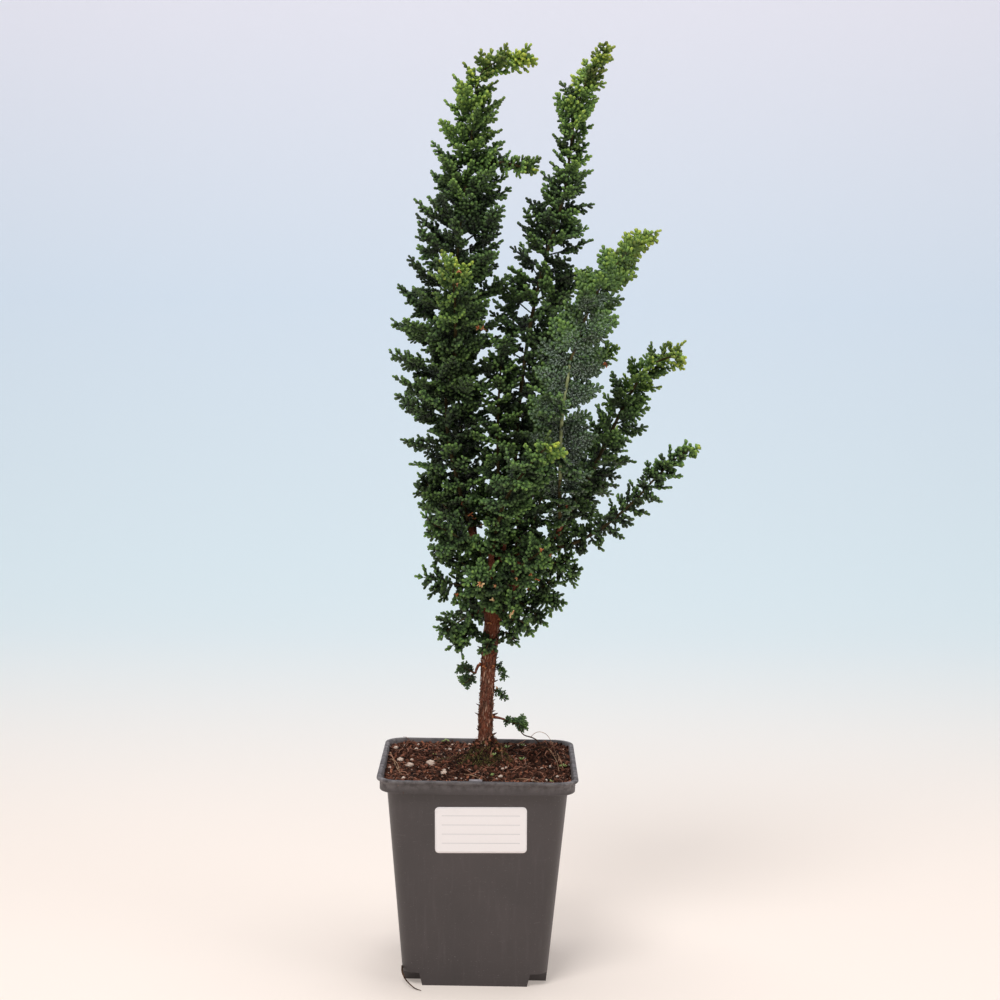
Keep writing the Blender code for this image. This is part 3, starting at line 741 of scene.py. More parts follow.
# Large perlite grains
# A few larger lumps of cream-white perlite catch the eye among the peat, most of them near the front
# left corner. Each has its own shape and is half sunk in the soil: place (x, y) and width in millimetres.
stones = [
    (-26.9, 3.6, 5.2), (-44.9, 12.2, 3.6), (-38.8, -2.5, 4.0), (-18.9, -21.5, 3.6), (-36.5, 33.2, 2.2),
    (-48.5, 34, 2.4), (-38.2, 15.0, 2.2), (-50, -1.8, 2.2), (-6, 47, 1.9), (-17.2, 35.0, 2.4),
    (36, -0.5, 1.7), (12.6, -24, 2.4), (13.6, -14, 1.9), (15.4, -11.8, 1.7), (-19.1, -10.5, 2.2),
    (-41.2, -29.2, 2.0), (-15.7, 46, 1.8), (-4.6, -14.8, 1.5), (-35.8, 44.5, 1.4), (21.3, 15, 1.4),
    (-16.5, -8.2, 1.5), (30, -34, 1.6), (-9, 31, 1.4), (44, -22, 1.5), (-30, -40, 1.8),
    (-29, -28, 1.4), (-12, -30, 1.5)]
stone_skin = bmesh.new()
stone_shade = stone_skin.verts.layers.float.new("shade")
for number, (x, y, wide) in enumerate(stones):
    place = Vector((x, y, soil_level(x, y) + 0.22 * wide))
    shape = bmesh.ops.create_icosphere(stone_skin, subdivisions=3, radius=1.0)
    for v in shape["verts"]:
        lump = 1 + 0.35 * noise.noise(v.co * 1.3 + Vector((number, 0, 0))) + 0.12 * noise.noise(v.co * 4)
        v[stone_shade] = 0.85 + 0.3 * noise.noise(v.co * 2)
        v.co = (place + Vector((v.co.x * 0.52, v.co.y * 0.42, v.co.z * 0.36)) * lump * wide) * MM
stone_mesh = mesh_from(stone_skin, "stones")
white_perlite = speckled("white_perlite", (0.42, 0.28, 0.20), (0.96, 0.78, 0.66), 0.85)
stone_piece = show("large_perlite", stone_mesh, white_perlite)
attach(stone_piece, "root")

# Moss round the trunk
# A thin olive-brown moss of short upright tufts covers the foot of the trunk and one surface root, and
# thins out into the peat, so crumbs and fibres show between its tufts.
moss_leaf = strand("moss_leaf", [(0, 0, -0.3), (0.05, 0, 0.5), (0.16, 0.02, 1.1), (0.4, 0.05, 1.5)], 0.17)
moss = grow(
    "moss", ground_mesh.copy(), scatter_tree, shape=moss_leaf, density=2100000.0, seed=71, smallest=0.4,
    largest=1.2, tilt=1.0, on_moss=1.0, material=speckled("moss", (0.034, 0.027, 0.010), (0.35, 0.31, 0.10)))
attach(moss, "root")
bpy.data.objects.remove(moss_leaf)


# Wiry roots and root hairs
# A wiry shoot bends from the lowest twig down into the soil, fine hairs arch over the clump behind it,
# tan rootlets lie along the pot's wall, and one root has grown out of the front left notch.
def smooth_route(points, spacing):
    """Points about spacing apart along a smooth curve through the given (x, y, z, radius) points."""
    knots = [Vector(point) for point in points]
    ends = [2 * knots[0] - knots[1]] + knots + [2 * knots[-1] - knots[-2]]
    route = []
    for a, b, c, d in zip(ends, ends[1:], ends[2:], ends[3:]):
        count = max(1, round((c - b).to_3d().length / spacing))
        for i in range(count):
            t = i / count
            bent = 2 * b + (c - a) * t + (2 * a - 5 * b + 4 * c - d) * t**2 + (3 * b - a - 3 * c + d) * t**3
            route.append(bent / 2)
    route.append(knots[-1])
    return [(point.to_3d(), point[3]) for point in route]


def frames_along(route):
    """For each point: its tangent and two directions square to it that turn as little as they can."""
    frames = []
    side = Vector((0.31, 0.93, 0.18))
    for i in range(len(route)):
        tangent = (route[min(i + 1, len(route) - 1)][0] - route[max(i - 1, 0)][0]).normalized()
        side = (side - tangent * side.dot(tangent)).normalized()
        frames.append((tangent, side, tangent.cross(side)))
    return frames


thread_spacing = 1.2


def thread_mesh(name, lines):
    """Edges along smooth lines of (x, y, z, radius) points, with the radius kept as "thick"."""
    points = []
    edges = []
    thick = []
    for line in lines:
        route = smooth_route(line, thread_spacing)
        edges += [(len(points) + i, len(points) + i + 1) for i in range(len(route) - 1)]
        points += [tuple(point * MM) for point, _ in route]
        thick += [radius * MM for _, radius in route]
    made = bpy.data.meshes.new(name)
    made.from_pydata(points, edges, [])
    store(made, "thick", "FLOAT", thick)
    store(made, "shade", "FLOAT", [0.45 + 0.5 * (i % 7) / 6 for i in range(len(thick))])
    return made


def make_tube_tree():
    given = start_tree("tubes", {"Sides": ("Int", 6), "Material": ("Material", None)})
    start = given["Geometry"]
    line = start.add("GeometryNodeMeshToCurve", None, {"Mesh": start})
    ring = start.add("GeometryNodeCurvePrimitiveCircle", None, {"Resolution": given["Sides"], "Radius": 1.0})
    tube = start.add("GeometryNodeCurveToMesh", None, {
        "Curve": line, "Profile Curve": ring, "Scale": stored(start, "thick"), "Fill Caps": True})
    return end_tree(tube, given["Material"], smooth=True)


tube_tree = make_tube_tree()
wiry_lines = [
    [(22.5, -2, 140, 0.4), (23.2, -2, 136.2, 0.4), (25.5, -2, 133.2, 0.36), (29.5, -2, 132, 0.4),
     (33, 1, 129.5, 0.36), (36, 6, 124, 0.3)],
    [(-40.3, -34, 9.0, 0.5), (-40, -38.5, 7.0, 0.45), (-37.7, -42, 3.6, 0.4), (-33, -47, 1.0, 0.35),
     (-29.1, -50, 0.6, 0.2)],
    [(30, 6, 122, 0.3), (34, 3, 125.5, 0.3), (39, 4, 123.5, 0.25), (43, 8, 118, 0.2)],
    [(31, 12, 122, 0.35), (36, 8, 125, 0.3), (42, 13, 121, 0.25), (45, 18, 116.5, 0.2)],
    [(12.2, -3, 126, 0.35), (12.8, -6, 121, 0.3), (12.4, -9, 117.5, 0.25)],
    [(-27, 27, 114, 0.4), (-26.3, 27, 117, 0.35), (-25.6, 27, 119.5, 0.15)],
    [(-26, 5, 114.2, 0.5), (-22, 6, 115.8, 0.75), (-17, 8.5, 116.4, 0.8), (-10, 11, 117.6, 0.9),
     (-5, 11, 118, 0.9)]]
hair_lines = [
    [(29.5, -2, 132.4, 0.17), (31.5, -2, 134.3, 0.15), (34.1, -2, 135.2, 0.15), (37.7, -2, 134, 0.15),
     (40.6, -3, 130.5, 0.14), (43, -1, 124, 0.14), (45, 4, 116, 0.14)],
    [(-51, 22, 116.5, 0.3), (-48.5, 8, 116, 0.3), (-46, -8, 115, 0.25), (-42, -22, 114, 0.2)],
    [(-50, 10, 115.5, 0.25), (-46, -2, 116, 0.25), (-44, -14, 114.5, 0.2)],
    [(36, 30, 118, 0.3), (42, 20, 121, 0.3), (46, 9, 118, 0.25), (48, -4, 114, 0.2)],
    [(40, 22, 119.5, 0.25), (45, 12, 118, 0.25), (47.5, 1, 114.5, 0.2)],
    [(33, 22, 119, 0.25), (39, 12, 123, 0.25), (44, 2, 118, 0.2), (45.5, -8, 113.5, 0.2)],
    [(13, -4, 124, 0.25), (13.6, -8, 119, 0.2), (12, -13, 116, 0.2)],
    [(-8, -20, 114.5, 0.3), (-3, -26, 115.2, 0.3), (3, -30, 114, 0.25)],
    [(20, -28, 114, 0.3), (27, -33, 115.3, 0.3), (35, -36, 114, 0.25)]]
for name, lines, dark, light in (
        ("wiry_roots", wiry_lines, (0.030, 0.016, 0.010), (0.14, 0.075, 0.045)),
        ("root_hairs", hair_lines, (0.22, 0.12, 0.07), (0.58, 0.38, 0.24))):
    roots = grow(name, thread_mesh(name, lines), tube_tree, sides=6, material=speckled(name, dark, light))
    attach(roots, "root")

# Trunk and limbs
# The bole is about eight millimetres thick, flares at the soil and forks near its top into the limbs
# that carry the plumes. Its red-brown bark is fibrous and splits into short upright strips.
bole_line = [
    (5.0, 0, 105, 6.6), (5.0, 0, 111, 6.6), (4.8, 0, 121, 5.9), (4.2, 0, 128, 4.8), (3.7, 0, 135, 3.9),
    (3.9, 0, 152, 3.6), (5.0, 0, 175, 3.8), (6.2, 0, 192, 4.2), (6.8, 0, 204, 3.8)]
# The limb that leads to each plume, and the bark point that each tuft's twig leaves (x, y, z, radius)
plume_limbs = {
    "left_leader_plume": [(6.6, 0, 196, 3.8), (3, 0, 214, 3.4), (-3, 2, 235, 2.9)],
    "right_leader_plume": [(17, 2, 215, 2.3), (20, 5, 234, 2.1)],
    "front_right_plume": [(33, 4, 235, 2.0), (38, -4, 243, 1.8)],
    "right_arching_plume": [(7.0, 0, 194, 3.6), (12, 1, 206, 3.3), (20, 2, 219, 3.0), (32, 3, 234, 2.5)],
    "low_right_plume": [(28, 3, 229, 1.9), (36, 1, 236, 1.7)],
    "front_plume": [(6.6, 0, 198, 2.4), (6, -9, 219, 2.0)],
    "inner_plume": [(2, 0, 218, 1.7), (9, -1, 230, 1.5)],
    "back_left_plume": [(-1, 1, 228, 1.9), (-4, 9, 237, 1.8)],
    "back_right_plume": [(20, 4, 226, 1.9), (22, 11, 238, 1.8)],
    "back_far_right_plume": [(30, 4, 232, 1.8), (37, 11, 238, 1.6)],
    "back_low_plume": [(-2, 1, 231, 1.5), (-5, 8, 235, 1.3)],
    "tuft_left_upper": [(-4, 2, 239, 1.5)],
    "tuft_left_mid": [(2, 0, 216, 1.5)],
    "tuft_left_front": [(-1, 1, 229, 1.5)],
    "tuft_left_low": [(5, 0, 201, 1.5)],
    "tuft_front": [(6.6, -1, 203, 1.5)],
    "tuft_front_right": [(12, 1, 206, 1.5)],
    "tuft_right_mid": [(16, 2, 213, 1.5)],
    "tuft_right_upper": [(27, 3, 229, 1.5)],
    "tuft_right_low": [(8, 0, 196, 1.5)],
    "tuft_back": [(7, 0, 203, 1.5)],
    "tuft_back_low": [(5, 1, 198, 1.5)],
    "shoot_left": [(4.6, 0, 174, 1.1), (-1, -0.5, 172, 0.8)],
    "shoot_right_upper": [(5.0, 0, 175, 1.2)],
    "shoot_right_mid": [(4.4, 0, 159, 1.1)],
    "shoot_right_low": [(4.0, 0, 144, 1.1), (9, -0.5, 142.9, 0.9)],
}
# The lines of each plume, tuft or shoot: the points of each line (x, y, z, half width), how far along
# it fresh growth begins, and how yellow its tip is
plumes = {
    "left_leader_plume": [
        ([(-7, 3, 251, 6), (-13, 3, 272, 15), (-20, 3, 304, 22), (-21, 4, 343, 25), (-19, 5, 377, 24),
          (-15, 5, 410, 23), (-12, 4, 437, 19), (-9, 3, 464, 15), (-7, 2, 486, 13), (-4, 1, 500, 10),
          (6, 0, 507, 8), (18, -1, 508, 6), (27, -2, 508, 4)], 0.58, 0.86),
        ([(-20, 0, 322, 8), (-16, -16, 350, 12), (-16, -32, 374, 12), (-17, -42, 390, 9),
          (-15, -46, 398, 5)], 0.45, 0.78),
        ([(-9, 3, 452, 6), (7, 0, 452, 6), (18, -2, 450, 6), (28, -3, 448, 4)], 0.30, 0.85)],
    "right_leader_plume": [
        ([(21, 7, 258, 6), (18, 9, 288, 16), (20, 12, 321, 20), (24, 14, 355, 22), (29, 13, 383, 22),
          (36, 10, 411, 20), (42, 8, 433, 17), (45, 6, 454, 11), (47, 4, 473, 12), (51, 3, 490, 12),
          (56, 2, 501, 8), (62, 1, 511, 6), (67, 0, 519, 4)], 0.58, 0.86)],
    "front_right_plume": [
        ([(43, -12, 254, 6), (42.5, -20, 280, 17), (42.7, -28, 313, 20), (46.4, -29, 343, 19),
          (54, -26, 367, 18), (63, -20, 386, 15), (73, -15, 400, 11), (84, -10, 411, 6.5),
          (97, -6, 417, 4)], 0.46, 0.88),
        ([(52, -22, 340, 7), (64, -8, 346, 8), (73, -2, 353, 6)], 0.5, 0.80)],
    "right_arching_plume": [
        ([(46, 9, 252, 6), (60, 16, 279, 16), (70, 18, 299, 18), (79, 18, 319, 15), (88, 15, 335, 12),
          (97, 12, 344, 9), (106, 8, 347, 8), (114, 5, 346, 5)], 0.42, 0.84)],
    "low_right_plume": [
        ([(44, 0, 240, 5), (55, 0, 244, 11), (69, -3, 253, 12), (85, -6, 268, 11), (98, -9, 283, 9),
          (111, -12, 295, 6), (122, -14, 299, 4)], 0.80, 0.86)],
    "front_plume": [
        ([(6, -18, 239, 5), (10, -30, 261, 12), (16, -40, 276, 14), (24, -48, 288, 13), (33, -54, 299, 9),
          (42, -58, 303, 5)], 0.72, 1.0)],
    "inner_plume": [
        ([(12, -4, 243, 5), (9, -6, 275, 13), (8, -8, 311, 13), (9, -8, 338, 11),
          (11, -6, 358, 6)], 0.9, 0.3),
        ([(24, 2, 237, 5), (27, -2, 249, 11), (31, -4, 262, 12), (35, -6, 275, 8)], 0.9, 0.3),
        ([(17, 3, 232, 4), (14, 0, 243, 9), (13, -2, 256, 9)], 0.9, 0.3),
        ([(4.4, 6, 254, 4), (0.9, 2, 263.9, 8), (-1.4, -2, 274, 8)], 0.9, 0.3),
        ([(8.7, 4, 229, 4), (9.7, -2, 238, 8), (10.1, -6, 249, 8)], 0.9, 0.3)],
    "back_left_plume": [
        ([(-5, 17, 249, 6), (-9, 30, 270, 15), (-13, 38, 302, 19), (-16, 45, 336, 19), (-14, 49, 365, 15),
          (-12, 52, 388, 7)], 0.78, 0.75)],
    "back_right_plume": [
        ([(25, 19, 252, 6), (29, 32, 274, 15), (33, 42, 304, 19), (36, 48, 337, 17), (40, 52, 366, 12),
          (44, 55, 386, 6)], 0.78, 0.80)],
    "back_far_right_plume": [
        ([(44, 18, 246, 5), (57, 32, 265, 14), (68, 43, 288, 13), (78, 50, 306, 7)], 0.75, 0.75)],
    "back_low_plume": [
        ([(-9, 15, 239, 4), (-18, 28, 248, 12), (-27, 39, 261, 11), (-33, 46, 272, 6)], 0.85, 0.5)],
    "tuft_left_upper": [
        ([(-14, 9, 252, 5), (-23, 13, 263, 14), (-31, 15, 272, 12), (-38, 17, 280, 6)], 0.8, 0.4)],
    "tuft_left_mid": [
        ([(-5, 0, 217, 5), (-14, 0, 218, 12), (-26, -2, 221, 11), (-38, -4, 223, 6)], 0.7, 0.45),
        ([(-3, -2, 226, 5), (-11, -4, 231, 10), (-22, -4, 236, 9), (-31, -4, 240, 5)], 0.8, 0.4)],
    "tuft_left_front": [
        ([(-6, -7, 240, 5), (-15, -18, 248, 14), (-25, -25, 254, 10), (-34, -28, 262, 5)], 0.8, 0.4),
        ([(-1, -3, 222, 4), (0, -10, 232, 9), (-1, -14, 242, 8), (-2, -16, 249, 5)], 0.9, 0.35)],
    "tuft_left_low": [
        ([(-1, -3, 203, 5), (-9, -8, 200, 12), (-17, -12, 195, 11), (-24, -14, 188, 6)], 0.8, 0.4),
        ([(-4, -3, 195, 4), (-7, -6, 191, 9), (-12, -9, 187, 10), (-20, -10, 182, 6)], 0.8, 0.4),
        ([(5, -5, 188, 3), (4, -9, 185, 6), (2, -12, 180, 6)], 0.9, 0.35)],
    "tuft_front": [
        ([(5, -8, 209, 5), (4, -19, 217, 13), (0, -29, 225, 11), (-5, -37, 231, 6)], 0.8, 0.45),
        ([(9, -5, 205, 4), (13, -13, 210, 10), (19, -20, 214, 9), (24, -24, 215, 5)], 0.8, 0.4)],
    "tuft_front_right": [
        ([(13, -8, 219, 5), (21, -21, 231, 14), (31, -30, 240, 11), (38, -35, 246, 6)], 0.8, 0.45),
        ([(34, -2, 239, 4), (39.6, -8, 245, 8), (43, -15, 257, 8)], 0.9, 0.35)],
    "tuft_right_mid": [
        ([(22, 3, 212, 5), (31, 6, 213, 12), (40, 8, 209, 10), (46, 8, 202, 6)], 0.8, 0.4),
        ([(18, 0, 210, 5), (26, -2, 206, 10), (33, -3, 200, 9), (38, -4, 195, 5)], 0.8, 0.4),
        ([(30.3, 4, 213, 4), (35.8, 0, 218.4, 8), (42, -3, 224, 7)], 0.9, 0.35)],
    "tuft_right_upper": [
        ([(36, 8, 228, 5), (46, 11, 225, 10), (58, 13, 223, 6)], 0.7, 0.45),
        ([(34, 2, 231, 5), (43, 1, 231, 9), (54, 1, 233, 7)], 0.8, 0.4)],
    "tuft_right_low": [
        ([(15, -6, 198, 4), (20, -13, 201, 10), (26, -17, 198, 10), (30, -18, 190, 6)], 0.8, 0.45),
        ([(14, -3, 192, 3), (18, -5, 189, 6), (22, -6, 184, 5)], 0.9, 0.35)],
    "tuft_back": [([(9, 8, 212, 5), (12, 22, 215, 14), (19, 36, 221, 12), (25, 47, 226, 6)], 0.8, 0.4)],
    "tuft_back_low": [([(1, 6, 203, 5), (-5, 17, 203, 13), (-12, 31, 204, 9)], 0.8, 0.4)],
    "shoot_left": [
        ([(-5.0, -1, 169.2, 1.0), (-9.4, -2, 171.4, 4.4), (-12.8, -2, 172.6, 3.4)], 0.3, 0.66),
        ([(-4.6, -2, 167.0, 1.0), (-6.4, -2, 163.6, 5.6), (-10.6, -3, 161.6, 4.6)], 0.3, 0.66)],
    "shoot_right_upper": [
        ([(9.1, 1, 172.6, 1.5), (11.3, 1, 171.3, 3), (13.1, 1, 168, 3), (13.9, 1, 163, 2)], 0.6, 0.35)],
    "shoot_right_mid": [
        ([(9.0, 0, 158, 1), (11.6, 0, 156.6, 1.5), (13.8, 1, 154.7, 2), (17.0, 1, 152.4, 2)], 0.6, 0.40)],
    "shoot_right_low": [
        ([(15.0, -1.2, 141.4, 1), (18, -1.6, 140.4, 2), (20.5, -2, 139.8, 4.0), (23.5, -2, 139.8, 4.8),
          (28, -3, 140.4, 3.6)], 0.5, 0.52)],
}


def kind_of(node):
    """Plume, tuft or shoot, by the node's name."""
    return "plume" if node.endswith("_plume") else node.split("_")[0]


def add_bark_tube(skin, grain, points, spacing, sides, relief):
    """A closed barky tube. Its grain layer keeps the place round and along it, in millimetres."""
    route = smooth_route(points, spacing)
    loops = []
    travelled = 0.0
    for i, ((point, radius), (_, side, across)) in enumerate(zip(route, frames_along(route))):
        travelled += (point - route[max(i - 1, 0)][0]).length
        loop = []
        for outward in directions_round(side, across, sides):
            round_x = outward.x * radius
            round_y = outward.y * radius
            ridge = noise.noise(Vector((round_x * 0.9, round_y * 0.9, travelled * 0.24)))
            fine = noise.noise(Vector((round_x * 2.6, round_y * 2.6, travelled * 0.6 + 40)))
            v = skin.verts.new((point + outward * (radius + relief * (ridge + 0.6 * fine))) * MM)
            v[grain] = Vector((round_x, round_y, travelled))
            loop.append(v)
        loops.append(loop)
    skin_over(skin, loops)


limb_end_radius = {"plume": 1.6, "tuft": 1.05, "shoot": 0.6}
limb_sides = {"plume": 14, "tuft": 9, "shoot": 9}
bark_skin = bmesh.new()
grain_layer = bark_skin.verts.layers.float_vector.new("grain")
add_bark_tube(bark_skin, grain_layer, bole_line, 1.1, 64, 0.55)
for node, limb in plume_limbs.items():
    foot, second = [Vector(point[:3]) for point in plumes[node][0][0][:2]]
    before = foot - (second - foot).normalized() * 3.0
    end = limb_end_radius[kind_of(node)]
    limb_line = limb + [(*before, end * 1.05), (*foot, end)]
    add_bark_tube(bark_skin, grain_layer, limb_line, 1.8, limb_sides[kind_of(node)], 0.28)
# Grey threads lie over the strips, and rust-red patches show more above the lowest shoots
bark = Finish("cypress_bark", roughness=0.88, specular_ior_level=0.25)
grain = bark.vector("grain")
strips = grain.noise(1.0, 5, (1.45, 1.45, 0.56), 0.70)
threads = grain.noise(1.0, 3, (3.4, 3.4, 1.2), 0.6)
blotches = grain.noise(0.16, 3)
red_brown = strips.ramp(
    (0.32, (0.026, 0.010, 0.007)), (0.44, (0.118, 0.037, 0.022)), (0.56, (0.255, 0.090, 0.052)),
    (0.70, (0.50, 0.31, 0.22)))
red_brown = (threads.rising(0.60, 0.72) * 0.65).colours(red_brown, (0.56, 0.42, 0.34))
red_brown = (blotches.rising(0.48, 0.66) * 0.45).colours(red_brown, (0.27, 0.070, 0.028))
young_bark = bark.place().axis("Z").rising(0.156, 0.184)
red_brown = (young_bark * 0.35).colours(red_brown, (0.30, 0.080, 0.034))
bark.paint(base_color=red_brown)
bark.emboss(strips * 0.7 + threads * 0.5, 0.0010, 1.0)
trunk = show("trunk_and_limbs", mesh_from(bark_skin, "bark"), bark.material)
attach(trunk, "root")
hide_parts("trunk")

# Peeling bark strips and spurs
# Narrow flakes one to three millimetres long stand a little off the bole where the bark peels, each
# loose at one end, and short pointed stubs of shed twigs stick out of it.
strip_count = 520
bole_step = 1.0
steps_left_bare = 12
strip_thick = 0.28
strip_skin = bmesh.new()
strip_draw = random.Random(4)
bole_route = smooth_route(bole_line, bole_step)
bole_frames = frames_along(bole_route)
strip_shade = strip_skin.verts.layers.float.new("shade")
for _ in range(strip_count):
    start = strip_draw.randrange(steps_left_bare, len(bole_route) - steps_left_bare)
    angle = strip_draw.uniform(0, 2 * math.pi)
    length = strip_draw.randrange(1, 4)
    wide = strip_draw.uniform(0.16, 0.38)
    drift = strip_draw.uniform(-0.05, 0.05)
    lift_foot, lift_head = sorted((strip_draw.uniform(0.0, 0.2), strip_draw.uniform(0.05, 0.8)))
    if strip_draw.random() < 0.4:
        lift_foot, lift_head = lift_head, lift_foot
    shade = strip_draw.random()
    outer = []
    inner = []
    for step in range(length + 1):
        share = step / length
        point, radius = bole_route[start + step]
        _, side, across = bole_frames[start + step]
        turn = angle + drift * step
        outward = math.cos(turn) * side + math.sin(turn) * across
        around = -math.sin(turn) * side + math.cos(turn) * across
        lift = lift_foot * (1 - share) ** 2 + lift_head * share**2 + 0.12
        narrow = wide * (1 - 0.7 * abs(2 * share - 1) ** 3)
        for row, height in ((outer, lift + strip_thick), (inner, lift - 0.12)):
            middle = point + outward * (radius + height)
            for sign in (-1, 1):
                v = strip_skin.verts.new((middle + around * narrow * sign) * MM)
                v[strip_shade] = shade
                row.append(v)
    for i in range(0, 2 * length, 2):
        strip_skin.faces.new((outer[i], outer[i + 1], outer[i + 3], outer[i + 2]))
        strip_skin.faces.new((inner[i], inner[i + 2], inner[i + 3], inner[i + 1]))
        strip_skin.faces.new((outer[i], outer[i + 2], inner[i + 2], inner[i]))
        strip_skin.faces.new((outer[i + 1], inner[i + 1], inner[i + 3], outer[i + 3]))
    strip_skin.faces.new((outer[0], inner[0], inner[1], outer[1]))
    strip_skin.faces.new((outer[-2], outer[-1], inner[-1], inner[-2]))
# Stubs: height up the bole, bearing (0 is right, 90 is back), length and foot radius
stubs = [
    (185.5, 180, 5.0, 1.0), (181, 168, 4.2, 0.8), (177, 175, 3.2, 0.6), (184, 8, 3.6, 0.9),
    (175.5, 15, 3.0, 0.6), (162, 10, 3.6, 0.7), (150.5, 20, 2.8, 0.5), (143, -5, 4.2, 1.0),
    (145.5, -20, 3.0, 0.6), (143, 176, 3.6, 0.6), (148.5, 185, 3.0, 0.6), (134, 150, 3.0, 0.8),
    (131, 20, 3.4, 0.9), (128, -30, 3.2, 0.7), (171, 250, 3.0, 0.7), (157, 230, 2.6, 0.5),
    (166, 95, 3.4, 0.7), (151, 80, 3.0, 0.6), (138, 100, 3.4, 0.8), (178, 290, 3.2, 0.7)]
for height, bearing, length, foot in stubs:
    point, radius = min(bole_route, key=lambda knot: abs(knot[0].z - height))
    turn = math.radians(bearing)
    heading = Vector((math.cos(turn), math.sin(turn), 0.25)).normalized()
    side = heading.orthogonal().normalized()
    loops = []
    for share, slim in ((0.0, 1.2), (0.35, 0.75), (0.75, 0.5), (1.0, 0.16)):
        middle = point + heading * (radius * 0.8 + length * share) + Vector((0, 0, 0.5 * share**2))
        loop = []
        for outward in directions_round(side, heading.cross(side), 6):
            v = strip_skin.verts.new((middle + foot * slim * outward) * MM)
            v[strip_shade] = 0.25
            loop.append(v)
        loops.append(loop)
    skin_over(strip_skin, loops)
strip_bark = speckled("peeling_bark", (0.045, 0.016, 0.010), (0.62, 0.36, 0.25))
strips_piece = show("bark_strips", mesh_from(strip_skin, "bark_strips"), strip_bark, smooth=False)
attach(strips_piece, "root")

# Leaf sprays
# Hinoki foliage: short flat fans of blunt, scale-covered fingers stand out of each plume's stem in a
# spiral and lean to its tip. One leaf tree sets a finger on every point that the growth below lays out.
finger_width = 2.1
finger_flatness = 0.76
finger_sides = 4
shoot_unit = 0.45


def make_leaf_tree():
    given = start_tree("leaf_fingers", {
        "Width": ("Float", finger_width * MM), "Flatness": ("Float", finger_flatness),
        "Sides": ("Int", finger_sides), "Material": ("Material", None)})
    start = given["Geometry"]
    finger = start.add("GeometryNodeMeshUVSphere", None, {
        "Segments": given["Sides"], "Rings": 3, "Radius": 0.5})
    place = start.add("GeometryNodeInputPosition")
    x, y, z = [place.axis(name) for name in "XYZ"]
    along = (z * 1.18 + 0.53).math("MAXIMUM", 0.0).math("MINIMUM", 1.0)
    swell = (0.84 + along * 0.38) * given["Width"]
    for name, value in (("along", along), ("under", y * -2)):
        finger = start.add("GeometryNodeStoreNamedAttribute", {"data_type": "FLOAT"}, {
            "Geometry": finger, "Name": name, "Value": value})
    finger = start.add("GeometryNodeSetPosition", None, {
        "Geometry": finger, "Position": start.joined(x * swell, y * swell * given["Flatness"], along)})
    placed = start.add("GeometryNodeInstanceOnPoints", None, {
        "Points": start, "Instance": finger, "Rotation": stored(start, "turn", "QUATERNION"),
        "Scale": stored(start, "size", "FLOAT_VECTOR")})
    return end_tree(placed, given["Material"], smooth=True)


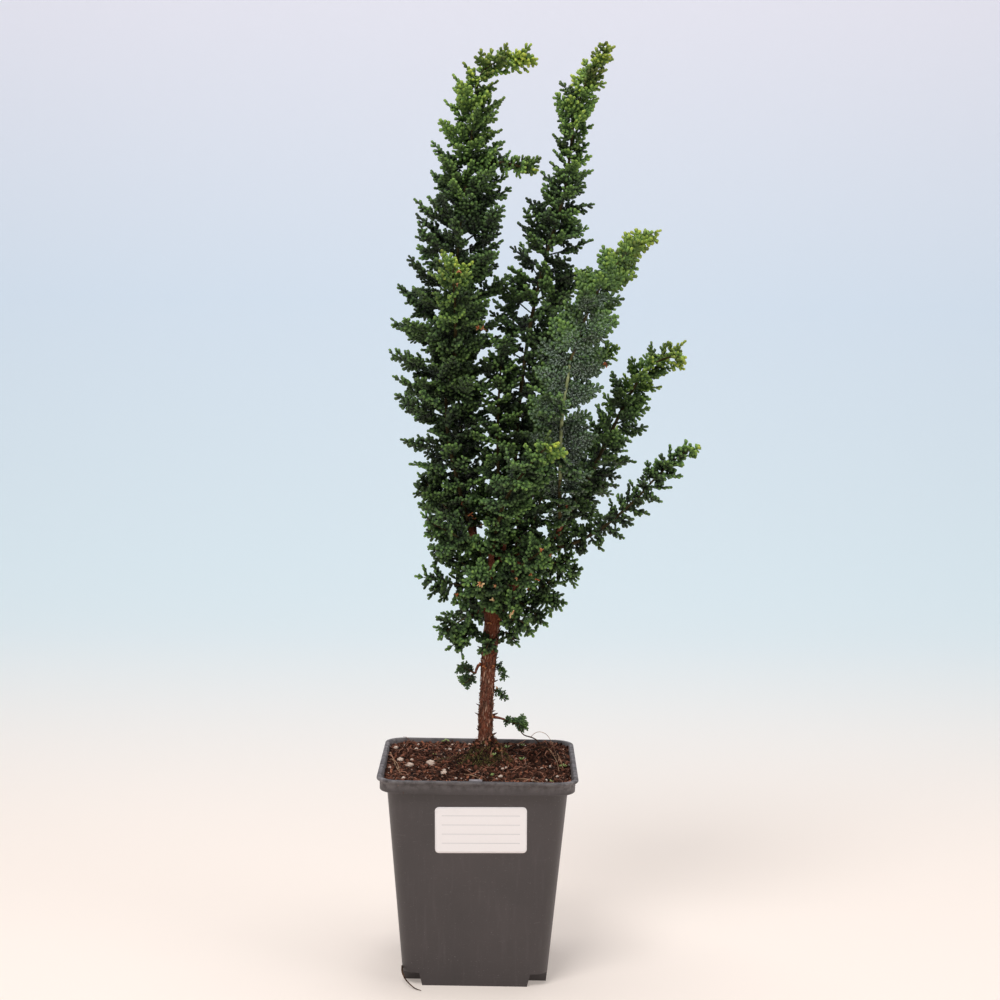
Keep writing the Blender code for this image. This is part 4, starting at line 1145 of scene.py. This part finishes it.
class Growth:
    """The fingers of one plume, each with its place, turn, size, age and shade; a lower age on twigs
    near the stem paints them darker as painted shade. Its lengths are in leaf units, which are a
    millimetre on a strong plume and less on a small shoot."""

    axis_width = 0.62
    finger_pitch = 1.95
    twig_pitch = 2.85

    def __init__(self, seed, fullness=1.0, unit=1.0):
        self.draw = random.Random(seed)
        self.fullness = fullness
        self.unit = unit
        self.points = []
        self.turns = []
        self.sizes = []
        self.ages_and_depth_shades = []
        self.shades = []

    def finger(self, root, heading, upper, length, width, age, shade):
        """One finger, left out where it would swell past the tree's whole width, depth or height."""
        tip = (root + heading * length) * self.unit * MM
        for k in range(3):
            swell = 0.0003 + 0.0013 * math.sqrt(max(0.0, 1 - heading[k] ** 2))
            if tip[k] < cad_box[0][k] + swell or tip[k] > cad_box[1][k] - swell:
                return
        side = upper.cross(heading).normalized()
        upper = heading.cross(side)
        turn = Matrix((side, upper, heading)).transposed().to_quaternion()
        self.points.append(root * self.unit * MM)
        self.turns.append(turn)
        self.sizes.append((width * self.unit, width * self.unit, length * self.unit * MM))
        self.ages_and_depth_shades.append(age)
        self.shades.append(shade + self.draw.uniform(-0.15, 0.15))

    def twig(self, root, heading, upper, length, age, shade):
        """A small flat spray: fingers in pairs along a slim axis, and one at its end."""
        pitch = self.finger_pitch
        steps = max(1, round(length / pitch))
        side = upper.cross(heading).normalized()
        self.finger(root, heading, upper, steps * pitch + 0.8, self.axis_width, age - 0.04, shade)
        for step in range(steps):
            place = root + heading * pitch * (step + 0.35)
            for hand in (-1, 1):
                spread = math.radians(self.draw.uniform(34, 56))
                out = heading * math.cos(spread) + side * hand * math.sin(spread)
                out = (out + upper * self.draw.uniform(-0.28, 0.28)).normalized()
                self.finger(
                    place, out, upper, self.draw.uniform(2.8, 4.4) * (1 - 0.2 * step / steps),
                    self.draw.uniform(0.84, 1.12), age + self.draw.uniform(-0.03, 0.05), shade)
        end = root + heading * pitch * steps
        self.finger(end, heading, upper, self.draw.uniform(2.8, 3.8), 1.05, age + 0.05, shade)

    def branch(self, root, heading, upper, lift, length, age, shade, loose, bare):
        """A side branch that bends toward lift; past its bare foot it sets twigs on both sides."""
        pitch = self.twig_pitch
        steps = max(1, round(length / pitch))
        place = root.copy()
        for step in range(steps):
            share = (step + 0.5) / steps
            side = upper.cross(heading).normalized()
            if share > bare or steps < 3:
                for hand in (-1, 1):
                    spread = math.radians(self.draw.uniform(38, 62))
                    out = (heading * math.cos(spread) + side * hand * math.sin(spread)).normalized()
                    roll = self.draw.uniform(-loose, loose)
                    out = (out + upper * math.sin(roll) * 0.45).normalized()
                    flat = (upper * math.cos(roll) + side * math.sin(roll)).normalized()
                    flat = (flat - out * flat.dot(out)).normalized()
                    reach = (1.6 + 0.34 * length * (1 - share)) * self.draw.uniform(0.7, 1.25)
                    # Twigs nearer the stem get a lower age, and the stem fingers below a lower one still, so
                    # they are painted darker: painted shade inside the crown
                    self.twig(place, out, flat, reach, age - 0.20 * (1 - share), shade)
            self.finger(place, heading, upper, pitch + 1.0, self.axis_width, age - 0.12, shade)
            place = place + heading * pitch
            heading = (heading + lift * 0.03).normalized()
            upper = (upper - heading * upper.dot(heading)).normalized()
        self.twig(place, heading, upper, 2.4, age + 0.04, shade)

    def plume(self, line, fresh_from, tip_age, spacing, facing=None):
        """Branches in a spiral up a stem; where facing is given, half lie flat with their backs to it."""
        route = smooth_route([[value / self.unit for value in point] for point in line], spacing)
        frames = frames_along(route)
        last = len(route) - 1
        end = last - math.ceil(4.6 / spacing)
        bearing = self.draw.uniform(0, 2 * math.pi)
        golden_angle = math.radians(137.5)
        for step, ((point, half), (tangent, side, across)) in enumerate(zip(route[:end], frames)):
            share = step / last
            ahead = route[min(last, step + round(0.3 * half / spacing))][1]
            bearing += golden_angle
            angle = bearing + self.draw.uniform(-0.25, 0.25)
            outward = math.cos(angle) * side + math.sin(angle) * across
            lean = math.radians(self.draw.uniform(-10, 10) + 84 - 34 * share)
            heading = (outward * math.sin(lean) + tangent * math.cos(lean)).normalized()
            upper = tangent * math.sin(lean) - outward * math.cos(lean)
            roll = self.draw.uniform(-0.9, 0.9)
            loose = 1.2
            bare = 0.34 if ahead > 20 else 0.26
            if facing is not None and self.draw.random() < 0.5:
                away = (facing - tangent * facing.dot(tangent)).normalized()
                outward = tangent.cross(away) * (1 if step % 2 else -1)
                outward = (outward + away * self.draw.uniform(-0.35, 0.35)).normalized()
                heading = (outward * math.sin(lean) + tangent * math.cos(lean)).normalized()
                upper = -away
                roll = self.draw.uniform(-0.3, 0.3)
                loose = 0.3
                bare = 0.12
            upper = upper * math.cos(roll) + heading.cross(upper) * math.sin(roll)
            upper = (upper - heading * upper.dot(heading)).normalized()
            # A branch ends 5.4 short of the plume's edge, which is the reach of its last twig
            length = ahead * self.fullness * self.draw.uniform(0.82, 1.2) / math.sin(lean) - 5.4
            ripe = max(0.0, (share - fresh_from) / (1 - fresh_from))
            age = 0.22 + 0.10 * share + self.draw.uniform(-0.08, 0.12) + (tip_age - 0.32) * ripe**1.3
            shade = 0.5 + self.draw.uniform(-0.38, 0.38)
            self.branch(point, heading, upper, tangent, max(1.5, length), age, shade, loose, bare)
        tangent, side, across = frames[end]
        self.twig(route[end][0], tangent, across, 2.1, tip_age, 0.6)

    def mesh(self, name):
        made = bpy.data.meshes.new(name)
        made.from_pydata([tuple(point) for point in self.points], [], [])
        store(made, "turn", "QUATERNION", self.turns)
        store(made, "size", "FLOAT_VECTOR", self.sizes)
        store(made, "age", "FLOAT", self.ages_and_depth_shades)
        store(made, "shade", "FLOAT", self.shades)
        return made


def make_leaf_finish(name, stops, pale):
    """Scale leaves: darkest where old and where painted shade has lowered the age, lightest at fresh tips,
    with painted shade at each finger's base, a painted highlight at its tip and a pale bloom in lines
    underneath.
    """
    leaf = Finish(name, specular_ior_level=0.35)
    spot = leaf.place()
    old_to_fresh_and_depth_shade = leaf.value("age")
    along = leaf.value("along")
    # Each finger is painted darker toward its base and lighter toward its tip: painted shade in the gaps
    # between fingers and a painted highlight on their ends
    green = (old_to_fresh_and_depth_shade + (along - 0.6) * 0.54).ramp(*stops)
    green = (0.72 - leaf.value("shade")).rising(0.0, 0.95).colours(green, stops[0][1])
    lines = spot.noise(1300, 1).rising(0.52, 0.63)
    bloom = leaf.value("under").rising(0.1, 0.6) * (0.08 + lines * 0.92) * pale
    bloom = bloom * (1 - old_to_fresh_and_depth_shade.rising(0.30, 0.42))
    green = bloom.colours(green, (0.42, 0.52, 0.46))
    leaf.paint(base_color=green, roughness=0.40 + spot.noise(600) * 0.2)
    scales = (along * 26.0).math("SINE").math("ABSOLUTE")
    leaf.emboss(scales * 0.6 + spot.noise(1400) * 0.4, 0.0004, 0.6)
    return leaf.material


leaf_tree = make_leaf_tree()
fresh_green = ((0.55, (0.160, 0.290, 0.062)), (0.78, (0.27, 0.41, 0.065)), (1.0, (0.50, 0.59, 0.075)))
# The bloom on the dark and middle greens is set stronger so that it also stands in for pale bluish
# highlights on the crown: partly real bloom, partly painted highlight
leaf_finishes = {
    "foliage_dark": make_leaf_finish(
        "dark_leaves", ((0.0, (0.005, 0.011, 0.004)), (0.30, (0.066, 0.128, 0.037)), *fresh_green), 0.14),
    "foliage_mid": make_leaf_finish(
        "green_leaves", ((0.0, (0.007, 0.015, 0.005)), (0.30, (0.084, 0.162, 0.048)), *fresh_green), 0.18),
    "foliage_blue": make_leaf_finish(
        "blue_leaves", ((0.0, (0.007, 0.015, 0.006)), (0.30, (0.082, 0.158, 0.050)), *fresh_green), 0.60)}
# The rest of the plumes, tufts and shoots have the middle green
leaf_slots = {
    "left_leader_plume": "foliage_dark", "right_leader_plume": "foliage_dark",
    "low_right_plume": "foliage_dark", "inner_plume": "foliage_dark", "back_left_plume": "foliage_dark",
    "back_right_plume": "foliage_dark", "back_low_plume": "foliage_dark",
    "front_right_plume": "foliage_blue"}
fullness = {
    "left_leader_plume": 1.26, "right_leader_plume": 1.06, "front_right_plume": 0.95,
    "low_right_plume": 1.1, "inner_plume": 1.15, "right_arching_plume": 1.1}
# The flat sprays of these turn their backs to the viewer
facing = {
    "front_right_plume": Vector((0.15, -1, 0.1)), "shoot_left": Vector((0, -1, 0)),
    "shoot_right_low": Vector((0, -1, 0.2))}
leaf_pieces = []
for number, (node, lines) in enumerate(plumes.items()):
    unit = shoot_unit if kind_of(node) == "shoot" else 1.0
    growth = Growth(100 + number, fullness.get(node, 1.05), unit)
    for line, fresh_from, tip_age in lines:
        spacing = 1.7 if max(point[3] for point in line) < 10 else 2.0
        growth.plume(line, fresh_from, tip_age, spacing, facing.get(node))
    finish = leaf_slots.get(node, "foliage_mid")
    leaves = grow(
        node.replace("_plume", "") + "_leaves", growth.mesh(node), leaf_tree, width=finger_width * MM,
        flatness=finger_flatness, sides=finger_sides, material=leaf_finishes[finish])
    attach(leaves, "root")
    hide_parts(node)
    leaf_pieces.append(leaves)

# Stems of the plumes
# Each plume hangs on a slim stem, brown at its foot and green farther up. The front right plume turns
# its back to the viewer, so its pale yellow-green stem shows between its sprays.
stem_foot_radius = {"plume": 1.25, "tuft": 0.75, "shoot": 0.5}
brown_stems = []
pale_stems = []
for node, lines in plumes.items():
    foot_radius = stem_foot_radius[kind_of(node)]
    for line, _, _ in lines:
        stem = []
        for i, (x, y, z, _) in enumerate(line):
            stem.append((x, y, z, foot_radius * (1 - 0.75 * i / (len(line) - 1))))
        stem[-1] = tuple(Vector(stem[-2]).lerp(Vector(stem[-1]), 0.5))
        if node == "front_right_plume" and len(line) > 4:
            pale_stems.append(stem[1:4])
            brown_stems.append(stem[:2])
            brown_stems.append(stem[3:])
        else:
            brown_stems.append(stem)
for name, stem_lines, dark, light in (
        ("plume_stems", brown_stems, (0.045, 0.028, 0.012), (0.11, 0.090, 0.034)),
        ("pale_stem", pale_stems, (0.15, 0.18, 0.07), (0.42, 0.46, 0.24))):
    stems = grow(
        name, thread_mesh(name, stem_lines), tube_tree, sides=6, material=speckled(name, dark, light, 0.6))
    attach(stems, "root")

# Dry scales and seedlings
# Some inner leaves have dried rust-orange to straw-yellow, orange scars mark where twigs leave the bole,
# and a few pale green seedlings stand in the soil.
dry_bits = [
    (-0.9, 218.8, 3.8, 0.60), (0.6, 218.0, 3.2, 0.92), (8.1, 217.5, 2.6, 0.60), (6.7, 209.5, 3.6, 1.0),
    (-13.4, 212.0, 2.8, 0.35), (16.7, 201.2, 3.4, 0.95), (18.1, 202.9, 2.2, 0.7),
    (5.0, 196.6, 2.8, 0.50), (10.5, 199.2, 2.2, 0.40), (33.2, 237.6, 3.4, 0.38),
    (38.7, 235.8, 2.8, 0.45), (27.8, 224.9, 3.0, 0.40), (19.9, 221.9, 2.2, 0.65),
    (31.5, 221.5, 2.6, 0.30), (26.7, 216.0, 2.4, 0.50), (-6.6, 257.5, 3.4, 0.30),
    (-4.5, 255.1, 2.8, 0.55), (-9.1, 260.0, 2.6, 0.28), (-11.1, 264.5, 3.0, 0.25),
    (-0.3, 252.0, 2.6, 0.80), (47.5, 263.0, 2.8, 0.15), (-14.7, 392.5, 3.2, 0.50),
    (-15.8, 384.9, 2.2, 0.65), (-1.6, 360.9, 3.6, 0.50), (-3.8, 361.4, 2.8, 0.40),
    (0.6, 360.1, 2.6, 0.60), (67.5, 342.5, 3.6, 0.12), (66.0, 343.5, 2.6, 0.20),
    (2.6, 172.0, 3.0, 0.45), (0.2, 172.6, 2.8, 0.40), (-3.4, 171.2, 2.4, 0.30),
    (7.9, 172.0, 2.8, 0.45), (9.2, 144.2, 3.2, 0.50), (7.9, 143.0, 2.4, 0.45),
    (9.9, 159.6, 2.0, 0.60)]
dry_on_soil = [
    (11.3, -5.8, 2.8, 0.55), (43.7, 34.5, 2.8, 0.5), (12.5, -3, 3.0, 0.05), (11.5, -2, 2.6, 0.05)]
graph = bpy.context.evaluated_depsgraph_get()
carriers = [BVHTree.FromObject(piece, graph) for piece in leaf_pieces + [trunk]]
eye = camera.matrix_world.translation
dry = Growth(7)


def dry_heading(lowest):
    """A random direction, more to the front than to the back, whose Z is from lowest to 1."""
    return Vector((
        dry.draw.uniform(-1, 1), dry.draw.uniform(-0.7, 0.2), dry.draw.uniform(lowest, 1))).normalized()


# Each is set on whatever the camera sees first at its (x, z) in the trunk's plane, in millimetres
for x, z, long, age in dry_bits:
    aim = (Vector((x, 0, z)) * MM - eye).normalized()
    reaches = [hit[3] for hit in (tree.ray_cast(eye, aim) for tree in carriers) if hit[0]]
    if reaches:
        place = (eye + aim * (min(reaches) - 0.0004)) / MM
        for _ in range(3):
            heading = dry_heading(-1)
            upper = heading.orthogonal().normalized()
            dry.finger(place - heading * long * 0.4, heading, upper, long, 0.6, age, 1.0)
for x, y, long, age in dry_on_soil:
    for _ in range(3):
        heading = dry_heading(0)
        upper = heading.orthogonal().normalized()
        dry.finger(Vector((x, y, soil_level(x, y) + 1.2)), heading, upper, long, 0.6, age, 1.0)
dry_stops = (
    (0.0, (0.050, 0.020, 0.010)), (0.4, (0.46, 0.12, 0.032)), (0.7, (0.74, 0.38, 0.18)),
    (1.0, (0.88, 0.66, 0.34)))
dry_piece = grow(
    "dry_scales", dry.mesh("dry_scales"), leaf_tree, width=finger_width * MM, flatness=0.5,
    sides=finger_sides, material=make_leaf_finish("dry_leaves", dry_stops, 0.0))
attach(dry_piece, "root")
seedlings = Growth(8)
for x, y, size in (
        (8.1, -9, 1.0), (16.2, 36, 1.2), (24.5, 7.2, 1.1), (49, 2, 0.9), (46.5, 0.2, 0.8),
        (7.3, -27.2, 1.0), (25.5, 43, 0.8), (-21, 46, 1.0), (-18.5, 47, 0.8), (-25.2, 18, 0.7),
        (41, -31, 0.8)):
    foot = Vector((x, y, soil_level(x, y) + 1.0))
    for _ in range(5):
        turn = seedlings.draw.uniform(0, 2 * math.pi)
        heading = Vector((math.cos(turn), math.sin(turn), seedlings.draw.uniform(0.4, 1.3))).normalized()
        length = size * seedlings.draw.uniform(1.6, 2.6)
        seedlings.finger(foot, heading, Vector((0, 0, 1)), length, 0.5 * size, 0.8, 0.8)
seedling_stops = ((0.0, (0.05, 0.12, 0.03)), (0.6, (0.32, 0.46, 0.12)), (1.0, (0.56, 0.68, 0.26)))
seedling_piece = grow(
    "seedlings", seedlings.mesh("seedlings"), leaf_tree, width=finger_width * MM, flatness=0.4,
    sides=finger_sides, material=make_leaf_finish("seedling_leaves", seedling_stops, 0.2))
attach(seedling_piece, "root")
